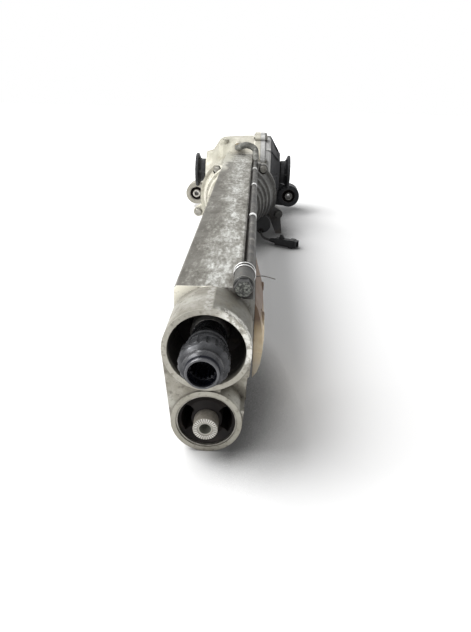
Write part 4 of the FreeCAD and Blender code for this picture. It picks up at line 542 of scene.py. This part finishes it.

# Mounting bushes
# Black rubber between a thin steel outer sleeve and a thick light inner sleeve that a bolt clamps.
# The inner sleeve's end is serrated, so that it bites into the bracket. The right ear's sleeves are
# darkened, partly a black coating and partly painted shade.
right_ear = ("X", 0.050, 0.060)
bush_steel = machined_metal("bush_steel", (0.42, 0.40, 0.36), (0.24, 0.23, 0.20), 0.45)
bush_steel.soiled_and_shaded(metal_dirt_and_shade, metal_dirt_and_shade_reach)
sleeve_metal = machined_metal("sleeve_metal", (0.30, 0.275, 0.235), (0.16, 0.145, 0.120), 0.5, 0.5)
eye_end = sleeve_metal.where(("Y", eye_low.y + 0.0008, eye_low.y + 0.0004))
eye_hole = sleeve_metal.where((sleeve_metal.from_line(0.0, eye_z), 0.0060, 0.0055))
sleeve_metal.over(eye_end, (0.30, 0.285, 0.25), 0.8)
sleeve_metal.over(sleeve_metal.where(right_ear), (0.045, 0.045, 0.045), 0.75)
sleeve_metal.over(eye_hole, (0.42, 0.43, 0.38), 0.7)
sleeve_metal.soiled_and_shaded(metal_dirt_and_shade, metal_dirt_and_shade_reach)
bush_rubber = new_finish("bush_rubber", 0.6)
bush_rubber.shader.inputs["Specular IOR Level"].default_value = 0.12
bloom = bush_rubber.noise(90.0, 6.0)
bush_rubber.colour = bush_rubber.ramp(bloom, (0.35, (0.005, 0.004, 0.004)), (0.60, (0.010, 0.008, 0.007)),
                                      (0.78, (0.045, 0.033, 0.024)))
bush_rubber.soiled_and_shaded((0.012, 0.010, 0.009))
bush_rubber.bump(bloom, 0.0008, 0.5, 0.0008)
for place in ("eye", "left_ear", "right_ear"):
    dress(black_steel if place == "right_ear" else bush_steel, place + "_outer_sleeve")
    dress(sleeve_metal, place + "_inner_sleeve")
    dress(bush_rubber, place + "_rubber")
dress(bush_rubber, "lead_gland", "case_gasket")


def new_shape(name, inputs):
    """Geometry tree with named inputs, given as (name, socket type) pairs."""
    tree = bpy.data.node_groups.new(name, "GeometryNodeTree")
    for label, kind in inputs:
        tree.interface.new_socket(name=label, in_out="INPUT", socket_type=kind)
    tree.interface.new_socket(name="Geometry", in_out="OUTPUT", socket_type="NodeSocketGeometry")
    return tree, tree.nodes.new("NodeGroupInput").outputs, tree.nodes.new("NodeGroupOutput").inputs


def shape_node(tree, kind, **inputs):
    """Node with its inputs set or linked; an input is named by its label with _ for spaces."""
    node = tree.nodes.new(kind)
    for label, value in inputs.items():
        socket = node.inputs[label.replace("_", " ")]
        if isinstance(value, bpy.types.NodeSocket):
            tree.links.new(value, socket)
        else:
            socket.default_value = value
    return node.outputs


def grown(name, tree, values, body):
    """Plain mesh made by a geometry tree, riding on a body."""
    piece = bpy.data.objects.new(name, bpy.data.meshes.new(name))
    bpy.context.collection.objects.link(piece)
    modifier = piece.modifiers.new("shape", "NODES")
    modifier.node_group = tree
    for item in tree.interface.items_tree:
        if item.in_out == "INPUT":
            modifier[item.identifier] = values[item.name]
    bpy.context.view_layer.update()
    result = bpy.data.meshes.new_from_object(piece.evaluated_get(bpy.context.evaluated_depsgraph_get()))
    piece.modifiers.remove(modifier)
    piece.data = result
    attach(piece, body)


upright = (math.radians(90.0), 0.0, 0.0)
teeth_tree, given, made = new_shape("end_serrations", (
    ("Count", "NodeSocketInt"), ("Radius", "NodeSocketFloat"), ("Tooth", "NodeSocketVector"),
    ("Centre", "NodeSocketVector"), ("Material", "NodeSocketMaterial")))
around = shape_node(teeth_tree, "GeometryNodeMeshCircle", Vertices=given["Count"],
                    Radius=given["Radius"])["Mesh"]
tooth = shape_node(teeth_tree, "GeometryNodeMeshCube", Size=given["Tooth"])["Mesh"]
step = teeth_tree.nodes.new("ShaderNodeMath")
step.operation = "DIVIDE"
step.inputs[0].default_value = math.tau
teeth_tree.links.new(given["Count"], step.inputs[1])
turned = teeth_tree.nodes.new("ShaderNodeMath")
turned.operation = "MULTIPLY"
teeth_tree.links.new(teeth_tree.nodes.new("GeometryNodeInputIndex").outputs[0], turned.inputs[0])
teeth_tree.links.new(step.outputs[0], turned.inputs[1])
facing = shape_node(teeth_tree, "ShaderNodeCombineXYZ", Z=turned.outputs[0])["Vector"]
set_out = shape_node(teeth_tree, "GeometryNodeInstanceOnPoints", Points=around, Instance=tooth,
                     Rotation=facing)
stood = shape_node(teeth_tree, "GeometryNodeTransform", Geometry=set_out["Instances"], Rotation=upright,
                   Translation=given["Centre"])["Geometry"]
whole = shape_node(teeth_tree, "GeometryNodeRealizeInstances", Geometry=stood)["Geometry"]
teeth_tree.links.new(shape_node(teeth_tree, "GeometryNodeSetMaterial", Geometry=whole,
                                Material=given["Material"])["Geometry"], made["Geometry"])
bitten_steel = machined_metal("bitten_steel", (0.66, 0.645, 0.60), (0.46, 0.445, 0.40), 0.4, 0.5)
# The right ear's serrations are darkened the same way, partly painted shade.
bitten_steel.over(bitten_steel.where(right_ear), (0.11, 0.11, 0.11), 0.75)
bitten_steel.soiled_and_shaded(metal_dirt_and_shade, metal_dirt_and_shade_reach)
tooth_count, tooth_length, tooth_width, tooth_height = 30, 0.0036, 0.0010, 0.0005
tooth_inset = 0.0021
for place in ("eye", "left_ear", "right_ear"):
    low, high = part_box(place + "_inner_sleeve")
    sleeve_r = (high.x - low.x) / 2
    centre = ((low.x + high.x) / 2, low.y, (low.z + high.z) / 2)
    grown(place + "_serrations", teeth_tree,
          {"Count": tooth_count, "Radius": sleeve_r - tooth_inset,
           "Tooth": (tooth_length, tooth_width, 2 * tooth_height),
           "Centre": centre, "Material": bitten_steel.material}, "housing")

# Input coupling
# Black phosphated steel muff on the splined shaft, ribbed outside and crimped round its widest
# band. Its bore is darkened near black with painted shade, and its mouth is worn bright.
coupling = machined_metal("coupling_black", (0.080, 0.081, 0.086), (0.028, 0.029, 0.032), 0.22, 0.35)
coupling.shader.inputs["Specular IOR Level"].default_value = 0.35
from_shaft = coupling.from_line(0.0, 0.0)
muff_bore = coupling.where((from_shaft, 0.0142, 0.0138), ("Y", 0.0008, 0.0030))
muff_mouth = coupling.where((from_shaft, 0.0170, 0.0160), ("Y", 0.0016, 0.0008))
coupling.over(muff_bore, (0.006, 0.007, 0.014), 0.95)
coupling.over(muff_mouth, (0.22, 0.22, 0.23), 0.25)
coupling.soiled_and_shaded((0.012, 0.012, 0.013), 0.005)
dress(coupling, "input_coupling")

# Output flanges
# Forged steel in thin black paint. Each turns with its side gear and is bolted to the joint of a
# drive shaft.
flange_black = machined_metal("flange_black", (0.024, 0.025, 0.028), (0.010, 0.010, 0.012), 0.48, 0.2)
flange_black.soiled_and_shaded(metal_dirt_and_shade, metal_dirt_and_shade_reach)
dress(flange_black, "left_output_flange", "right_output_flange")

# Shaft, gears and bearings inside
# Turned, hobbed and ground steel that shows only where the nose is open or the case is cut. The
# carrier is cast iron, and the thrust washers and the breather's union are bronze.
shaft_steel = machined_metal("shaft_steel", (0.40, 0.39, 0.37), (0.22, 0.21, 0.20), 0.38)
gear_steel = machined_metal("gear_steel", (0.44, 0.44, 0.45), (0.30, 0.30, 0.31), 0.30)
bearing_steel = machined_metal("bearing_steel", (0.60, 0.60, 0.61), (0.46, 0.46, 0.47), 0.22, 1.0)
carrier_iron = machined_metal("carrier_iron", (0.20, 0.20, 0.20), (0.11, 0.11, 0.11), 0.5, 0.7)
washer_bronze = machined_metal("washer_bronze", (0.55, 0.42, 0.22), (0.38, 0.28, 0.14), 0.35, 1.0)
for metal in (shaft_steel, gear_steel, bearing_steel, carrier_iron, washer_bronze):
    metal.soiled_and_shaded(metal_dirt_and_shade, metal_dirt_and_shade_reach)
dress(shaft_steel, "input_shaft", "coupling_sleeve", "cross_pin", "lock_pin", "pinion_spacer",
      "pinion_shim")
dress(gear_steel, "pinion", "ring_gear", "left_side_gear", "right_side_gear", "upper_planet_gear",
      "lower_planet_gear")
dress(bearing_steel, *[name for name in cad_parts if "bearing" in name])
dress(carrier_iron, "diff_carrier")
dress(washer_bronze, "thrust_washers", "breather_union")
dress(bush_rubber, "input_seal", "left_output_seal", "right_output_seal")

# Side shield
# Pressed cover screwed to the right flank behind the nose, once cream, now yellowed, and stained
# brown along its upper edge, deeper towards the back.
shield = cast_metal("shield_paint", (0.62, 0.46, 0.26), (0.74, 0.59, 0.38), (0.84, 0.72, 0.52), 0.66, 0.1)
deeper_backward = shield.span(shield.along("Y"), 0.12, 0.32, 0.0, 0.064)
uneven = shield.span(shield.skin["Blotches"], 0.3, 0.7, -0.006, 0.006)
stain_edge = shield.sum_of(shield.sum_of(shield.along("Z"), deeper_backward), uneven)
shield.over(shield.where((stain_edge, -0.010, 0.006)), (0.13, 0.085, 0.065), 0.92)
shield.over(shield.where(("Z", -0.030, -0.045)), (0.62, 0.60, 0.54), 0.6)
shield.over(shield.where((shield.skin["Specks"], 0.60, 0.72)), (0.16, 0.09, 0.045), 0.35)
shield.soiled_and_shaded((0.16, 0.09, 0.045))
dress(shield, "side_shield", "shield_bolts")

# Breather pipe, its sleeve and its clips
# Dull dark hose lying in the channel beside the strip, held by three bright spring clips. Where it
# bends over to the case it runs in a thicker sleeve.
hose = new_finish("hose_rubber", 0.62)
chalk = hose.noise(70.0, 7.0)
hose.colour = hose.ramp(chalk, (0.38, (0.026, 0.025, 0.023)), (0.55, (0.065, 0.061, 0.054)),
                        (0.72, (0.18, 0.17, 0.155)))
hose.soiled_and_shaded((0.03, 0.026, 0.022))
hose.bump(chalk, 0.0006, 0.4)
dress(hose, "breather_pipe")
clip_steel = machined_metal("clip_steel", (0.90, 0.90, 0.89), (0.74, 0.74, 0.73), 0.28, 0.6)
clip_steel.soiled_and_shaded(metal_dirt_and_shade, metal_dirt_and_shade_reach)
dress(clip_steel, "breather_clips")

# The sleeve is the pipe's own bend, cut off at both ends and swelled by the sleeve's wall.
sleeve_wall = 0.0026
sleeve_start_z, sleeve_end_y = 0.047, 0.8925
same_place, on_the_cut = 1e-6, 1e-7
sleeve = bmesh.new()
sleeve.from_mesh(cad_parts["breather_pipe"].data)
bmesh.ops.remove_doubles(sleeve, verts=sleeve.verts, dist=same_place)
lower_cut = ((0.0, 0.0, sleeve_start_z), (0.0, 0.0, -1.0))
rear_cut = ((0.0, sleeve_end_y, 0.0), (0.0, 1.0, 0.0))
for point, outward in (lower_cut, rear_cut):
    bmesh.ops.bisect_plane(sleeve, geom=sleeve.verts[:] + sleeve.edges[:] + sleeve.faces[:],
                           dist=on_the_cut, plane_co=point, plane_no=outward, clear_outer=True)
sleeve.normal_update()
swell = {vertex: vertex.normal * sleeve_wall for vertex in sleeve.verts}
ends = [edge for edge in sleeve.edges if edge.is_boundary]
bmesh.ops.extrude_edge_only(sleeve, edges=ends)
for vertex, move in swell.items():
    vertex.co += move
bmesh.ops.recalc_face_normals(sleeve, faces=sleeve.faces)
sleeve_mesh = bpy.data.meshes.new("breather_sleeve")
sleeve.to_mesh(sleeve_mesh)
sleeve.free()
for face in sleeve_mesh.polygons:
    face.use_smooth = True
sleeve_mesh.set_sharp_from_angle(angle=math.radians(40.0))
sleeve_piece = bpy.data.objects.new("breather_sleeve", sleeve_mesh)
bpy.context.collection.objects.link(sleeve_piece)
sleeve_finish = new_finish("sleeve_rubber", 0.7)
chalk = sleeve_finish.noise(120.0, 6.0)
sleeve_finish.colour = sleeve_finish.ramp(chalk, (0.38, (0.080, 0.080, 0.070)),
                                          (0.55, (0.165, 0.165, 0.150)), (0.72, (0.300, 0.300, 0.275)))
sleeve_finish.soiled_and_shaded((0.03, 0.026, 0.022))
sleeve_finish.bump(chalk, 0.0006, 0.4)
sleeve_mesh.materials.append(sleeve_finish.material)
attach(sleeve_piece, "housing")

# Spring rings and cable tie on the nose boss
# Two bright wire rings grip the boss behind the large bolt, and a cable tie's stiff tail sticks
# out from them to the right.
rings_tree, given, made = new_shape("spring_rings", (
    ("Count", "NodeSocketInt"), ("Radius", "NodeSocketFloat"), ("Wire Radius", "NodeSocketFloat"),
    ("Start", "NodeSocketVector"), ("Spacing", "NodeSocketVector"), ("Material", "NodeSocketMaterial")))
loop = shape_node(rings_tree, "GeometryNodeCurvePrimitiveCircle", Resolution=48,
                  Radius=given["Radius"])["Curve"]
wire = shape_node(rings_tree, "GeometryNodeCurvePrimitiveCircle", Resolution=8,
                  Radius=given["Wire Radius"])["Curve"]
ring = shape_node(rings_tree, "GeometryNodeCurveToMesh", Curve=loop, Profile_Curve=wire)["Mesh"]
ring = shape_node(rings_tree, "GeometryNodeTransform", Geometry=ring, Rotation=upright)["Geometry"]
row = shape_node(rings_tree, "GeometryNodeMeshLine", Count=given["Count"], Start_Location=given["Start"],
                 Offset=given["Spacing"])["Mesh"]
placed = shape_node(rings_tree, "GeometryNodeInstanceOnPoints", Points=row, Instance=ring)["Instances"]
whole = shape_node(rings_tree, "GeometryNodeRealizeInstances", Geometry=placed)["Geometry"]
rings_tree.links.new(shape_node(rings_tree, "GeometryNodeSetMaterial", Geometry=whole,
                                Material=given["Material"])["Geometry"], made["Geometry"])
ring_wire = 0.0006
first_ring_y, ring_spacing = 0.1165, 0.0075
grown("nose_spring_rings", rings_tree,
      {"Count": 2, "Radius": boss_r + ring_wire, "Wire Radius": ring_wire,
       "Start": (boss_x, first_ring_y, boss_z), "Spacing": (0.0, ring_spacing, 0.0),
       "Material": clip_steel.material}, "housing")

tail_radius = 0.0005
tail_points = ((0.0368, 0.1225, 0.0350), (0.0400, 0.1225, 0.0366),
               (0.0470, 0.1220, 0.0372), (0.0570, 0.1200, 0.0350))
tail = round_cord("tie_tail", tail_points, tail_radius, 2, 12)
tail_finish = new_finish("tie_nylon", 0.5)
tail_finish.colour = tail_finish.ramp(tail_finish.noise(500.0, 3.0), (0.35, (0.085, 0.078, 0.072)),
                                      (0.65, (0.150, 0.140, 0.130)))
tail_finish.soiled_and_shaded((0.05, 0.045, 0.04), 0.003)
tail.data.materials.append(tail_finish.material)
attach(tail, "housing")

# Actuator and connector
# Black glass-filled plastic mouldings. The actuator sits at the right foot, and the connector lies
# on the ground at the end of its lead.
plastic = new_finish("black_plastic", 0.45)
plastic.shader.inputs["Specular IOR Level"].default_value = 0.3
mould = plastic.noise(600.0, 3.0)
plastic.colour = plastic.ramp(mould, (0.35, (0.005, 0.005, 0.006)), (0.70, (0.014, 0.014, 0.015)))
plastic.soiled_and_shaded((0.008, 0.008, 0.008))
plastic.bump(mould, 0.0003, 0.35, 0.0006)
dress(plastic, "actuator_body", "connector")

bpy.context.scene.view_settings.view_transform = "Standard"
